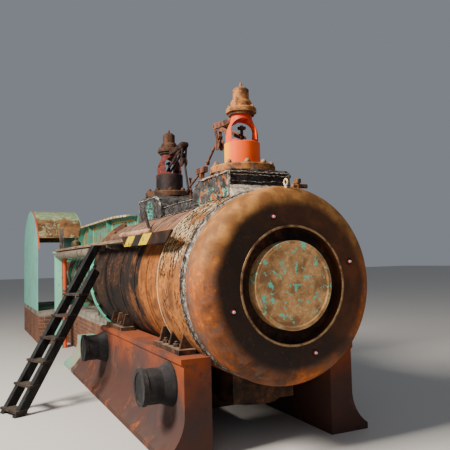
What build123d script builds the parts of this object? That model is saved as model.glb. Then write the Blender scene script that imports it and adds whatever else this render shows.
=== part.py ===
from build123d import *
import os
from math import cos, hypot, radians, sin, sqrt

# Cylinder side of a horizontal steam winding engine: clad cylinder with a domed end casing, two valve
# bonnets on steam chests with their trip gear, guide trunk under a ribbed guard, splasher hood, side
# walkway and ladder. Millimetres. X runs along the engine towards the domed end, the walkway is on the
# -Y side, Z is up, and the origin is on the ground under the middle of the cylinder.

# Driving dimensions
AXIS_H = 1500.0              # cylinder axis above the ground
SEAT_GAP = 0.3               # clearance between a curved piece and its seat
PIN_GAP = 0.5                # running clearance of a pin in its eye

# Cylinder, its cladding and its ends
BARREL_R = 800.0             # iron barrel under the cladding
CLAD_REAR_R = BARREL_R + 60
CLAD_FRONT_R = CLAD_REAR_R + 45
CLAD_STEP_X = 960.0          # where the rear cladding meets the larger front section
STRIP_X = 1590.0             # torn lagging strip between cladding and end casing
STRIP_W = 120.0
CASING_R = CLAD_FRONT_R - 5   # end casing
CASING_BACK_R = CASING_R - 9
CASING_L = 350.0
BEAD_W = 34.0                # bead at the casing's back edge, and the groove beside it
GROOVE_W = 30.0
GROOVE_D = 9.0
SHOULDER_AX = 162.0          # elliptical shoulder, along the axis and across it
SHOULDER_RAD = 189.0
LIP_R = CASING_R - SHOULDER_RAD - 185   # raised lip round the recess of the end casing
LIP_W = 16.0
LIP_H = 9.0
RECESS_D = 110.0
CENTRE_COVER_R = LIP_R - 129
CENTRE_COVER_PROUD = 10.0
BARREL_BACK_X = -2120.0
REAR_FLANGE_R = CLAD_REAR_R + 65
REAR_FLANGE_W = 50.0
SEAM_XS = (430.0, -12.0, -640.0, -1420.0)
SEAM_W = 46.0
SEAM_H = 7.0

EYE_SETBACK = 90.0           # lifting eye behind the casing's face
COCK = (1560.0, 390.0)

# Steam chests and bonnets
VALVE_X = 1130.0             # each valve from the middle of the cylinder
CHEST_TOP = CLAD_FRONT_R + 195   # above the axis, as are the next heights
CHEST_OUT = 370.0            # chest end away from the middle, from the valve axis
CHEST_IN = 355.0             # start of the shoulder towards the middle
SHOULDER_1 = (486.0, CHEST_TOP - 40)
SHOULDER_2 = (594.0, CHEST_TOP - 154)
CHEST_HALF_W = 345.0
LID_T = 30.0
LID_INSET = 14.0
BRIDGE_TOP = CHEST_TOP - 170
BRIDGE_HALF_W = 300.0
BONNET_FLANGE_R = 340.0
BONNET_FLANGE_T = 70.0
BONNET_STUDS = 10
STUD_PITCH_R = BONNET_FLANGE_R - 42
DRUM_R = 188.0
DRUM_TOP = CHEST_TOP + 350
LANTERN_R = DRUM_R - 17
LANTERN_WALL = 22.0
LANTERN_TOP = DRUM_TOP + 322
NECK_R = 108.0
WINDOW_W = 266.0
WINDOW_LOW = DRUM_TOP + 23
WINDOW_HIGH = WINDOW_LOW + 226
WINDOW_TURN = 15.0           # degrees that the windows are turned from the engine's axis, in mirror image
NECK_FLANGE_R = NECK_R + 52
NECK_FLANGE_T = 50.0
NECK_BOLTS = 6
NECK_BOLT_PITCH = NECK_FLANGE_R - 24
DASHPOT_R = 112.0
DASHPOT_TOP = LANTERN_TOP + 133
CAP_R = 85.0
CAP_TOP = DASHPOT_TOP + 139
TIP_TOP = CAP_TOP + 54
TIP_R = 15.0
GLAND_R = 58.0
SPINDLE_R = 16.0
SPINDLE_TOP = DRUM_TOP + 190
COLLAR_R = 44.0
COLLAR_LOW = SPINDLE_TOP - 38
COLLAR_T = 22.0

# Trip gear: lever pivot, rod pin and the rod's lower end, as distance from the valve axis and height
PIVOT = (600.0, LANTERN_TOP - 2)
ROD_PIN = (560.0, LANTERN_TOP - 132)
TOE = (-34.0, DRUM_TOP + 52)
WEIGHT = (557.0, LANTERN_TOP - 229)
WEIGHT_R = 60.0
FRONT_ROD_END = (908.0, BRIDGE_TOP + 468)
REAR_ROD_END = (719.0, BRIDGE_TOP + 207)
LEVER_PLATE_T = 12.0
LEVER_GAP = 22.0             # half the space between the lever's two plates
HUB_R = 38.0
PIN_R = 12.0
ROD_R = 14.0
CHEEK_T = 12.0
ARM_END = 330.0              # end of the bracket's solid arm, from the valve axis
ARM_H = 56.0
RING_H = 28.0
ROCKER_X = (-85.0, 160.0)    # bearing block of the rocker, between the two rods
ROCKER_HALF_W = 30.0
ROCKER_Z = (BRIDGE_TOP + 370, BRIDGE_TOP + 437)
LINK_END = (-370.0, BRIDGE_TOP + 255)   # end of the rocker's link, by the rear rod's eye
STAY_X = -494.0              # standing bar by the rear rod
STAY_Y = 62.0
STAY_H = 380.0

# Feet, bed and exhaust side
BED_TOP = AXIS_H - 620
FOOT_T = 46.0
FOOT_WEB_H = 150.0
FOOT_L = 760.0
FRONT_FOOT_X = 700.0
REAR_FOOT_X = -1330.0
PLINTH_IN = CLAD_REAR_R - 220
PLINTH_OUT = PLINTH_IN + 260
FOOT_OUT = PLINTH_OUT - 30
PLINTH_X = (-3590.0, 1660.0)
TOE_OUT = PLINTH_OUT + 180   # the bed's sides flare out to a toe on the floor
TOE_H = 60.0
FLARE_TOP = 400.0
MOULDING_OUT = 24.0          # moulding along the bed's top edge
MOULDING_H = 48.0
TAIL_TOP = BED_TOP - 350     # the bed is lower behind the cylinder
TAIL_X = (-2250.0, -1400.0)  # slope between the two heights
TAIL_RAKE = 265.0
CROSS_HALF = 180.0           # cross wall of the bed, under the middle of the cylinder
CROSS_TOP = AXIS_H - CLAD_REAR_R - 80
EXHAUST_HALF = 330.0
EXHAUST_LOW = CLAD_FRONT_R + 215   # below the axis
BRANCH_X = VALVE_X + 170     # round exhaust branches on the bed's near side
BRANCH_R = 163.0
BRANCH_ROOT_R = 202.0
BRANCH_Z = BED_TOP - MOULDING_H - MOULDING_OUT - 1 - BRANCH_ROOT_R
BRANCH_OUT = PLINTH_OUT + 300

# Walkway and ladder
WALK_TOP = 0.569 * CLAD_FRONT_R    # above the axis
WALK_IN = 0.84 * CLAD_FRONT_R
WALK_OUT = WALK_IN + 190
BOARD_T = 40.0
FASCIA_D = 104.0
FASCIA_T = 16.0
PLATFORM_X = (-120.0, 1595.0)
FASCIA_SLANT = 186.0
PLATFORM_TAPER = 760.0       # the platform's boards run out to a point at the cylinder's front
BRACKET_D = 96.0
WALK_END_X = -5640.0
LADDER_TOP = (-1260.0, -WALK_OUT + 45, WALK_TOP)
LADDER_FOOT = (-750.0, -2116.0)
LADDER_HALF_W = 146.0
STILE_W = 72.0
STILE_D = 104.0
SHORT_STILE_L = 1950.0       # the right-hand stile is broken off short
TREADS = 6
TREAD_START = 70.0
TREAD_PITCH = 305.0
TREAD_HALF_L = 190.0         # the treads stand out past the stiles
TREAD_D = 145.0
TREAD_T = 28.0

# Guide trunk, guard and hood
TRUNK_R = 600.0
TRUNK_END_X = -6220.0
TRUNK_FLANGE_W = 45.0
GUARD_HALF_W = 350.0
GUARD_T = 24.0
GUARD_TOP = REAR_FLANGE_R + 43
GUARD_LEVEL_X = -3000.0      # the guard's top falls from here towards the rear chest
GUARD_DROP = 54.0
GUARD_LOW = TRUNK_R - 180
GUARD_END_X = -5525.0
GUARD_RIM_W = 120.0
GUARD_RIM_T = 22.0
GUARD_NOSE_R = 380.0
RIB_XS = (-3120.0, -4610.0)
RIB_T = 44.0
REAR_BED_TOP = AXIS_H - TRUNK_R - 80
REAR_PLINTH_X = BARREL_BACK_X - 580
SADDLE_XS = (-3450.0, -5900.0)
SADDLE_L = 340.0
SADDLE_HALF_W = TRUNK_R - 80
HOOD_X = -7940.0
HOOD_R = 1900.0
HOOD_CENTRE_Z = -400.0
HOOD_EDGE_Z = 800.0
HOOD_Y = (-1180.0, -170.0)
HOOD_T = 12.0
HOOD_BED_TOP = 700.0
BEAM_Y = WALK_IN + 115       # beam and post under the walkway, on the near side
BEAM_R = 75.0
STANCHION_H = 430.0
STANCHION_W = 90.0
POST_X = WALK_END_X + 90
POST_W = 134.0
PIPE_R = 48.0


def level(height):
    """Height above the ground of a height above the cylinder axis."""
    return AXIS_H + height


def block(xs, ys, zs):
    """A box from its lower and upper limits along X, Y and Z."""
    size = [high - low for low, high in (xs, ys, zs)]
    middle = [(low + high) / 2 for low, high in (xs, ys, zs)]
    return Pos(*middle) * Box(*size)


def lathe_x(*profile):
    """A solid turned about the cylinder axis from (x, radius) points."""
    face = make_face(Polyline(*profile, close=True))
    return Pos(0, 0, AXIS_H) * revolve(face, Axis.X)


def lathe_z(x, *profile):
    """A solid turned about a vertical axis at x from (radius, height above the cylinder axis) points."""
    points = [(r, level(z)) for r, z in profile]
    face = Plane.XZ * make_face(Polyline(*points, close=True))
    return Pos(x, 0, 0) * revolve(face, Axis.Z)


def plate_y(outline, low, high):
    """A plate parallel to XZ between two Y values, from (x, height above the ground) points."""
    face = Plane.XZ * make_face(Polyline(*outline, close=True))
    return Pos(0, high, 0) * extrude(face, high - low)


def disc_y(x, z, radius, low, high):
    """A round disc or hole across the engine."""
    return Pos(x, (low + high) / 2, z) * Rot(90, 0, 0) * Cylinder(radius, high - low)


def bar(start, end, radius):
    """A round bar between two points."""
    start, end = Vector(*start), Vector(*end)
    place = Plane(origin=start, z_dir=end - start)
    return place * Cylinder(radius, (end - start).length, align=(Align.CENTER, Align.CENTER, Align.MIN))


def cladding_space(gap=SEAT_GAP):
    """The room that the clad cylinder takes, grown by a gap, for seating pieces on it."""
    rear = lathe_x((BARREL_BACK_X, 0), (CLAD_STEP_X - gap, 0), (CLAD_STEP_X - gap, CLAD_REAR_R + gap),
                   (BARREL_BACK_X, CLAD_REAR_R + gap))
    front = lathe_x((CLAD_STEP_X - gap, 0), (STRIP_X, 0), (STRIP_X, CLAD_FRONT_R + gap),
                    (CLAD_STEP_X - gap, CLAD_FRONT_R + gap))
    return rear + front


def save(name, shape):
    export_step(shape, "parts/" + name + ".step")


def cylinder():
    """Barrel, cladding, torn lagging strip and the ends."""
    face_x = STRIP_X + STRIP_W + CASING_L
    strip_end = STRIP_X + STRIP_W
    save("cylinder_barrel", lathe_x((BARREL_BACK_X, 0), (strip_end, 0), (strip_end, BARREL_R),
                                    (BARREL_BACK_X, BARREL_R)))
    inner = BARREL_R + SEAT_GAP
    rear = lathe_x((BARREL_BACK_X, inner), (CLAD_STEP_X, inner), (CLAD_STEP_X, CLAD_REAR_R),
                   (BARREL_BACK_X, CLAD_REAR_R))
    save("rear_cladding", rear)
    save("front_cladding", lathe_x((CLAD_STEP_X, inner), (STRIP_X, inner), (STRIP_X, CLAD_FRONT_R),
                                   (CLAD_STEP_X, CLAD_FRONT_R)))
    low, high = CASING_BACK_R - 14, CASING_BACK_R - 2
    save("lagging_strip", lathe_x((STRIP_X, inner), (strip_end, inner), (strip_end, low),
                                  (strip_end - 22, high), (strip_end - 45, low), (STRIP_X + 26, high),
                                  (STRIP_X, low)))

    shoulder_x = face_x - SHOULDER_AX
    lip_in, lip_out = LIP_R - LIP_W / 2, LIP_R + LIP_W / 2
    bead_end, groove_end = strip_end + BEAD_W, strip_end + BEAD_W + GROOVE_W
    back = Polyline((strip_end, lip_in), (strip_end, CASING_BACK_R), (bead_end, CASING_BACK_R),
                    (bead_end + GROOVE_D, CASING_BACK_R - GROOVE_D),
                    (groove_end - GROOVE_D, CASING_BACK_R - GROOVE_D), (groove_end, CASING_BACK_R),
                    (shoulder_x, CASING_R))
    outline = [
        *back.edges(),
        EllipticalCenterArc((shoulder_x, CASING_R - SHOULDER_RAD), SHOULDER_AX, SHOULDER_RAD,
                            start_angle=0, arc_size=90),
        Line((face_x, CASING_R - SHOULDER_RAD), (face_x, lip_out)),
        Line((face_x, lip_out), (face_x + LIP_H, lip_out)),
        Line((face_x + LIP_H, lip_out), (face_x + LIP_H, lip_in)),
        Line((face_x + LIP_H, lip_in), (strip_end, lip_in)),
    ]
    casing = revolve(make_face(Wire(outline)), Axis.X)
    casing = Pos(0, 0, AXIS_H) * casing
    save("end_casing", casing)
    lifting_eye(casing)

    floor_x = face_x - RECESS_D
    cover_r = lip_in - SEAT_GAP
    cover = lathe_x((strip_end, 0), (floor_x, 0), (floor_x, cover_r), (strip_end, cover_r))
    top_x = face_x + CENTRE_COVER_PROUD
    save("centre_cover", lathe_x((floor_x, 0), (top_x - 16, 0), (top_x - 16, CENTRE_COVER_R - 40),
                                 (top_x, CENTRE_COVER_R - 34), (top_x, CENTRE_COVER_R - 4),
                                 (top_x - 6, CENTRE_COVER_R), (floor_x, CENTRE_COVER_R)))
    save("cylinder_cover", cover)

    flange_x = BARREL_BACK_X - REAR_FLANGE_W
    save("rear_flange", lathe_x((flange_x, 0), (BARREL_BACK_X, 0), (BARREL_BACK_X, REAR_FLANGE_R),
                                (flange_x, REAR_FLANGE_R)))


def seams():
    """Straps over the seams of the rear cladding, clear of the bridge and the feet."""
    bands = []
    for x in SEAM_XS:
        ring = lathe_x((x, CLAD_REAR_R + SEAT_GAP), (x + SEAM_W, CLAD_REAR_R + SEAT_GAP),
                       (x + SEAM_W, CLAD_REAR_R + SEAM_H), (x, CLAD_REAR_R + SEAM_H))
        top = block((x - 1, x + SEAM_W + 1), (-CHEST_HALF_W - 6, CHEST_HALF_W + 6), (AXIS_H, level(CHEST_TOP)))
        ring -= top
        ring -= block((x - 1, x + SEAM_W + 1), (-EXHAUST_HALF - 6, EXHAUST_HALF + 6), (0, AXIS_H))
        ring -= block((REAR_FOOT_X - 6, REAR_FOOT_X + FOOT_L + 6), (-PLINTH_OUT, PLINTH_OUT),
                      (BED_TOP - 6, BED_TOP + FOOT_T + FOOT_WEB_H + 6))
        bands += ring.solids()
    save("cladding_bands", Compound(bands))


def chest(name, side):
    """Steam chest at side * VALVE_X with its lid: outer end upright, a shoulder towards the middle."""
    def out(u):
        return side * (VALVE_X - u)
    outline = [(out(-CHEST_OUT), AXIS_H), (out(-CHEST_OUT), level(CHEST_TOP)),
               (out(CHEST_IN), level(CHEST_TOP)), (out(SHOULDER_1[0]), level(SHOULDER_1[1])),
               (out(SHOULDER_2[0]), level(SHOULDER_2[1])), (out(SHOULDER_2[0]), AXIS_H)]
    body = plate_y(outline, -CHEST_HALF_W, CHEST_HALF_W) - cladding_space()
    ends = sorted((out(-CHEST_OUT + LID_INSET), out(CHEST_IN - LID_INSET)))
    half = CHEST_HALF_W - LID_INSET
    body += block(ends, (-half, half), (level(CHEST_TOP), level(CHEST_TOP + LID_T)))
    save(name + "_steam_chest", body)


def exhaust_chest(side):
    """Exhaust chest under the cylinder, with its round bottom cover."""
    low = -EXHAUST_LOW
    box = block((side * VALVE_X - EXHAUST_HALF, side * VALVE_X + EXHAUST_HALF),
                (-EXHAUST_HALF, EXHAUST_HALF), (level(low), AXIS_H))
    exhaust = box - cladding_space()
    exhaust += lathe_z(side * VALVE_X, (0, low - 45), (EXHAUST_HALF - 20, low - 45),
                       (EXHAUST_HALF - 20, low), (0, low))
    return exhaust


def bridge():
    """Low steam passage between the two chests."""
    end = VALVE_X - SHOULDER_2[0]
    body = block((-end, end), (-BRIDGE_HALF_W, BRIDGE_HALF_W), (AXIS_H, level(BRIDGE_TOP)))
    save("chest_bridge", body - cladding_space())


def bonnet(name, side):
    """Valve bonnet: flange with studs, plain drum, open lantern, neck flange and dashpot with its cap."""
    x = side * VALVE_X
    base = CHEST_TOP + LID_T
    flange_top = base + BONNET_FLANGE_T
    flange = lathe_z(x, (0, base), (BONNET_FLANGE_R, base), (BONNET_FLANGE_R, flange_top - 12),
                     (BONNET_FLANGE_R - 12, flange_top), (0, flange_top))
    for i in range(BONNET_STUDS):
        angle = radians(360 * (i + 0.5) / BONNET_STUDS)
        place = Pos(x + STUD_PITCH_R * cos(angle), STUD_PITCH_R * sin(angle), level(flange_top))
        flange += place * extrude(RegularPolygon(24, 6), 24)
        flange += place * Cylinder(12, 40, align=(Align.CENTER, Align.CENTER, Align.MIN))
    save(name + "_bonnet_flange", flange)

    save(name + "_valve_drum", lathe_z(x, (0, flange_top), (DRUM_R, flange_top), (DRUM_R, DRUM_TOP - 8),
                                       (DRUM_R - 8, DRUM_TOP), (0, DRUM_TOP)))

    waist = (LANTERN_R + NECK_R) / 2
    waist_z = (DRUM_TOP + 60 + LANTERN_TOP - 40) / 2
    outer = [Line((0, DRUM_TOP), (LANTERN_R, DRUM_TOP)),
             Line((LANTERN_R, DRUM_TOP), (LANTERN_R, DRUM_TOP + 50)),
             Spline((LANTERN_R, DRUM_TOP + 50), (waist + 6, waist_z), (NECK_R, LANTERN_TOP - 30),
                    tangents=((0, 1), (0, 1))),
             Line((NECK_R, LANTERN_TOP - 30), (NECK_R, LANTERN_TOP)),
             Line((NECK_R, LANTERN_TOP), (0, LANTERN_TOP)),
             Line((0, LANTERN_TOP), (0, DRUM_TOP))]
    bell = Plane.XZ * (Pos(0, AXIS_H, 0) * make_face(Wire(outer)))
    lantern = Pos(x, 0, 0) * revolve(bell, Axis.Z)
    inner_r = LANTERN_R - LANTERN_WALL
    roof = WINDOW_HIGH + 10
    lantern -= lathe_z(x, (0, DRUM_TOP), (inner_r, DRUM_TOP), (inner_r, DRUM_TOP + 60),
                       (waist - LANTERN_WALL, waist_z), (NECK_R - LANTERN_WALL, roof), (0, roof))
    arch_r = WINDOW_W / 2
    spring = WINDOW_HIGH - arch_r
    window = block((-LANTERN_R - 20, LANTERN_R + 20), (-arch_r, arch_r), (level(WINDOW_LOW), level(spring)))
    window += Pos(0, 0, level(spring)) * Rot(0, 90, 0) * Cylinder(arch_r, 2 * LANTERN_R + 40)
    lantern -= Pos(x, 0, 0) * Rot(0, 0, -side * WINDOW_TURN) * window
    save(name + "_lantern", lantern)

    neck_top = LANTERN_TOP + NECK_FLANGE_T
    dashpot = lathe_z(x, (0, LANTERN_TOP), (NECK_FLANGE_R, LANTERN_TOP), (NECK_FLANGE_R, neck_top - 14),
                      (NECK_FLANGE_R - 10, neck_top), (DASHPOT_R, neck_top), (DASHPOT_R, DASHPOT_TOP - 24),
                      (DASHPOT_R - 14, DASHPOT_TOP), (CAP_R, DASHPOT_TOP), (CAP_R, CAP_TOP - 26),
                      (CAP_R - 26, CAP_TOP), (TIP_R, CAP_TOP), (TIP_R, TIP_TOP - 8), (TIP_R - 6, TIP_TOP),
                      (0, TIP_TOP))
    for i in range(NECK_BOLTS):
        angle = radians(360 * (i + 0.5) / NECK_BOLTS)
        spot = Pos(x + NECK_BOLT_PITCH * cos(angle), NECK_BOLT_PITCH * sin(angle), level(neck_top))
        dashpot += spot * extrude(RegularPolygon(17, 6), 16)
    save(name + "_dashpot", dashpot)
    return lathe_z(x, (0, DRUM_TOP), (GLAND_R, DRUM_TOP), (GLAND_R, DRUM_TOP + 22), (SPINDLE_R, DRUM_TOP + 30),
                   (SPINDLE_R, COLLAR_LOW), (COLLAR_R, COLLAR_LOW), (COLLAR_R, COLLAR_LOW + COLLAR_T),
                   (SPINDLE_R, COLLAR_LOW + COLLAR_T), (SPINDLE_R, SPINDLE_TOP), (0, SPINDLE_TOP))


def trip_gear(name, side, rod_end):
    """Lever bracket on the neck, forked valve lever with its weight, and the rod that it pulls."""
    def place(point):
        return side * (VALVE_X - point[0]), level(point[1])
    pivot, rod_pin, toe, weight, end = (place(p) for p in (PIVOT, ROD_PIN, TOE, WEIGHT, rod_end))
    x = side * VALVE_X
    plate_out = LEVER_GAP + LEVER_PLATE_T
    cheek_in = plate_out + 1
    cheek_out = cheek_in + CHEEK_T

    arm_low, arm_high = level(LANTERN_TOP - ARM_H), level(LANTERN_TOP)
    arm_from, arm_to = place((NECK_R + 9, 0))[0], place((ARM_END, 0))[0]
    bracket = block(sorted((arm_from, arm_to)), (-cheek_out, cheek_out), (arm_low, arm_high))
    bore = NECK_R + SEAT_GAP
    bracket += lathe_z(x, (bore, LANTERN_TOP - RING_H), (NECK_R + 28, LANTERN_TOP - RING_H),
                       (NECK_R + 28, LANTERN_TOP), (bore, LANTERN_TOP))
    cheek_start = place((ARM_END - 20, 0))[0]
    for low, high in ((cheek_in, cheek_out), (-cheek_out, -cheek_in)):
        outline = [(cheek_start, arm_low), (cheek_start, arm_high), (pivot[0], pivot[1] + 34),
                   (pivot[0] - side * 20, pivot[1] + 26), (pivot[0] - side * 34, pivot[1]),
                   (pivot[0] - side * 20, pivot[1] - 26), (pivot[0], pivot[1] - 34)]
        bracket += plate_y(outline, low, high)
    bracket += disc_y(pivot[0], pivot[1], PIN_R, -cheek_out - 10, cheek_out + 10)
    save(name + "_lever_bracket", bracket)

    lever = None
    for low, high in ((LEVER_GAP, plate_out), (-plate_out, -LEVER_GAP)):
        outline = [(pivot[0] - side * 4, pivot[1] + HUB_R - 2), (toe[0], toe[1] + 15), (toe[0], toe[1] - 15),
                   (pivot[0], pivot[1] - HUB_R + 2)]
        cheek = plate_y(outline, low, high)
        cheek += disc_y(pivot[0], pivot[1], HUB_R, low, high)
        drop = [(pivot[0] - side * 26, pivot[1]), (pivot[0] + side * 24, pivot[1]),
                (weight[0] + side * 22, weight[1]), (weight[0] - side * 22, weight[1])]
        cheek += plate_y(drop, low, high)
        cheek += disc_y(weight[0], weight[1], WEIGHT_R, low, high)
        lever = cheek if lever is None else lever + cheek
    lever += disc_y(pivot[0], pivot[1], HUB_R, -plate_out, plate_out)
    lever += disc_y(rod_pin[0], rod_pin[1], PIN_R - 2, -plate_out - 6, plate_out + 6)
    lever -= disc_y(pivot[0], pivot[1], PIN_R + PIN_GAP, -plate_out - 1, plate_out + 1)
    save(name + "_valve_lever", lever)

    length = hypot(end[0] - rod_pin[0], end[1] - rod_pin[1])
    along = ((end[0] - rod_pin[0]) / length, (end[1] - rod_pin[1]) / length)
    eye_half = LEVER_GAP - 2
    rod = bar((rod_pin[0] + 20 * along[0], 0, rod_pin[1] + 20 * along[1]), (end[0], 0, end[1]), ROD_R)
    rod += disc_y(rod_pin[0], rod_pin[1], 26, -eye_half, eye_half)
    rod += disc_y(end[0], end[1], 26, -18, 18)
    rod -= disc_y(rod_pin[0], rod_pin[1], PIN_R - 2 + PIN_GAP, -eye_half - 1, eye_half + 1)
    rod -= disc_y(end[0], end[1], 12, -19, 19)
    save(name + "_drop_rod", rod)


def trip_stands():
    """Rocker block on its pedestal, with its link to the rear rod, and the bar beside that rod."""
    foot, low = level(BRIDGE_TOP), level(ROCKER_Z[0])
    middle = sum(ROCKER_X) / 2
    pedestal = block(ROCKER_X, (-ROCKER_HALF_W, ROCKER_HALF_W), (low, level(ROCKER_Z[1])))
    pedestal += block((middle - 26, middle + 26), (-26, 26), (foot, low))
    pedestal += block((middle - 90, middle + 90), (-70, 70), (foot, foot + 26))
    pedestal += bar((0, 0, low + ROD_R), (LINK_END[0], 0, level(LINK_END[1])), ROD_R)
    stay = bar((STAY_X, STAY_Y, foot), (STAY_X, STAY_Y, foot + STAY_H), 13)
    stay += Pos(STAY_X, STAY_Y, foot + STAY_H) * Sphere(20)
    stay += Pos(STAY_X, STAY_Y, foot + 8) * Cylinder(34, 16)
    save("trip_stands", Compound([pedestal, stay]))


def feet():
    """Bearing feet on both sides of the cylinder, on top of the bed."""
    space = cladding_space()
    root = BARREL_R - 100
    for name, x0 in (("front", FRONT_FOOT_X), ("rear", REAR_FOOT_X)):
        pair = []
        for side in (-1, 1):
            ys = sorted((side * root, side * FOOT_OUT))
            foot = block((x0, x0 + FOOT_L), ys, (BED_TOP, BED_TOP + FOOT_T))
            for rib in (0.12, 0.5, 0.88):
                x = x0 + rib * FOOT_L
                top = BED_TOP + FOOT_T
                web = Plane.YZ * make_face(Polyline((side * root, top), (side * (FOOT_OUT - 40), top),
                                                    (side * (root + 90), top + FOOT_WEB_H),
                                                    (side * root, top + FOOT_WEB_H),
                                                    close=True))
                foot += Pos(x - 18, 0, 0) * extrude(web, 36)
            for spot in (0.3, 0.7):
                place = Pos(x0 + spot * FOOT_L, side * (FOOT_OUT - 60), BED_TOP + FOOT_T)
                foot += place * extrude(RegularPolygon(30, 6), 30)
                foot += place * Cylinder(15, 52, align=(Align.CENTER, Align.CENTER, Align.MIN))
            pair += (foot - space).solids()
        save(name + "_feet", Compound(pair))


def bed_side(side):
    """One side of the cast bed: upright above, flared to a toe on the floor, lower behind the cylinder."""
    x0, x1 = PLINTH_X
    edge = Polyline((PLINTH_OUT, FLARE_TOP), (PLINTH_OUT, BED_TOP - MOULDING_H - MOULDING_OUT),
                    (PLINTH_OUT + MOULDING_OUT, BED_TOP - MOULDING_H), (PLINTH_OUT + MOULDING_OUT, BED_TOP),
                    (PLINTH_IN, BED_TOP), (PLINTH_IN, 0), (TOE_OUT, 0), (TOE_OUT, TOE_H))
    flare = TangentArc((PLINTH_OUT, FLARE_TOP), (TOE_OUT, TOE_H), tangent=(0, -1))
    section = Plane.YZ * make_face(Wire([*edge.edges(), flare]))
    wall = Pos(x0, 0, 0) * extrude(section, x1 - x0)
    above = [(x0 - 1, TOE_H), (x0, TOE_H), (x0 + TAIL_RAKE, FLARE_TOP), (x0 + TAIL_RAKE, TAIL_TOP),
             (TAIL_X[0], TAIL_TOP), (TAIL_X[1], BED_TOP), (TAIL_X[1], BED_TOP + 1), (x0 - 1, BED_TOP + 1)]
    wall -= plate_y(above, PLINTH_IN - 1, TOE_OUT + 1)
    if side < 0:
        wall = mirror(wall, Plane.XZ)
    return wall - cladding_space()


def plinths():
    """The cylinder's bed, and the masonry blocks under the trunk and the hood."""
    for side_name, side in (("near", -1), ("far", 1)):
        save("plinth_" + side_name, bed_side(side))
    save("plinth_cross", block((-CROSS_HALF, CROSS_HALF), (-PLINTH_IN, PLINTH_IN), (0, CROSS_TOP)))
    save("rear_plinth", block((TRUNK_END_X, REAR_PLINTH_X), (40 - TRUNK_R, TRUNK_R - 40),
                              (0, REAR_BED_TOP)))
    half = sqrt(HOOD_R ** 2 - (HOOD_EDGE_Z - HOOD_CENTRE_Z) ** 2)
    save("hood_plinth", block((HOOD_X - half, TRUNK_END_X), HOOD_Y, (0, HOOD_BED_TOP)))


def exhaust_branch(side):
    """Round exhaust branch with a flared root on the bed's near side, by a valve."""
    root = PLINTH_OUT + SEAT_GAP
    outline = Polyline((0, root), (BRANCH_ROOT_R, root), (BRANCH_ROOT_R, root + 14),
                       (BRANCH_R, root + 110), (BRANCH_R, BRANCH_OUT - 46), (BRANCH_R + 10, BRANCH_OUT - 46),
                       (BRANCH_R + 10, BRANCH_OUT), (BRANCH_R - 26, BRANCH_OUT), (BRANCH_R - 26, BRANCH_OUT - 12),
                       (0, BRANCH_OUT - 12), close=True)
    turned = revolve(Plane.XY * make_face(outline), Axis.Y)
    return Pos(side * BRANCH_X, 0, BRANCH_Z) * mirror(turned, Plane.XZ)


def walkway():
    """Platform beside the cylinder, the long walkway behind it, brackets, beam and end post."""
    top = level(WALK_TOP)
    low = top - BOARD_T
    x0, x1 = PLATFORM_X
    board_w = (WALK_OUT - WALK_IN - 6) / 2
    boards = []
    flanges = lathe_x((BARREL_BACK_X - REAR_FLANGE_W - TRUNK_FLANGE_W - 4, 0), (BARREL_BACK_X + 4, 0),
                      (BARREL_BACK_X + 4, REAR_FLANGE_R + 4),
                      (BARREL_BACK_X - REAR_FLANGE_W - TRUNK_FLANGE_W - 4, REAR_FLANGE_R + 4))
    point = make_face(Polyline((x1 - PLATFORM_TAPER, 1 - WALK_IN), (x1, -WALK_OUT), (x1 + 1, -WALK_OUT),
                               (x1 + 1, 1 - WALK_IN), close=True))
    taper = Pos(0, 0, low - 1) * extrude(point, BOARD_T + 2)
    for xs in ((x0, x1), (WALK_END_X, x0 - 4)):
        for i in range(2):
            edge = -WALK_OUT + i * (board_w + 6)
            boards += (block(xs, (edge, edge + board_w), (low, top)) - flanges - taper).solids()
    save("walkway_boards", Compound(boards))
    outer = -WALK_OUT - SEAT_GAP
    outline = [(x0 + 0.6 * FASCIA_SLANT, top - FASCIA_D), (x1 - FASCIA_SLANT, top - FASCIA_D), (x1, top + 6),
               (x0, top + 6)]
    save("platform_fascia", plate_y(outline, outer - FASCIA_T, outer))
    space = cladding_space()
    brackets = []
    for x in (-1900.0, -1000.0, -150.0, 700.0):
        arm = Plane.YZ * make_face(Polyline((-WALK_OUT + 10, low), (160 - WALK_IN, low),
                                            (160 - WALK_IN, low - BRACKET_D),
                                            (-WALK_OUT + 10, low - 0.5 * BRACKET_D), close=True))
        brackets += (Pos(x - 10, 0, 0) * extrude(arm, 20) - space).solids()
    save("walkway_brackets", Compound(brackets))
    flange_face = BARREL_BACK_X - REAR_FLANGE_W - TRUNK_FLANGE_W
    beam_z = low - BEAM_R
    save("walkway_beam", bar((flange_face - SEAT_GAP, -BEAM_Y, beam_z),
                             (POST_X + POST_W / 2 + SEAT_GAP, -BEAM_Y, beam_z), BEAM_R))
    half = POST_W / 2
    post = block((POST_X - half, POST_X + half), (-BEAM_Y - half, -BEAM_Y + half), (0, low))
    post += block((POST_X - half - 30, POST_X + half), (-BEAM_Y - half - 30, -BEAM_Y + half + 30),
                  (low - 34, low))
    pipe_x = POST_X + half - PIPE_R
    pipe_y = half + PIPE_R + SEAT_GAP - BEAM_Y
    save("end_post", post - bar((pipe_x, pipe_y, -1), (pipe_x, pipe_y, low + 1), PIPE_R + SEAT_GAP))
    save("red_pipe", bar((pipe_x, pipe_y, 0), (pipe_x, pipe_y, low - SEAT_GAP), PIPE_R))
    save("rail_stanchion", block((POST_X + 30, POST_X + 42), (-WALK_IN - 4 - STANCHION_W, -WALK_IN - 4),
                                 (top, top + STANCHION_H)))


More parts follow.
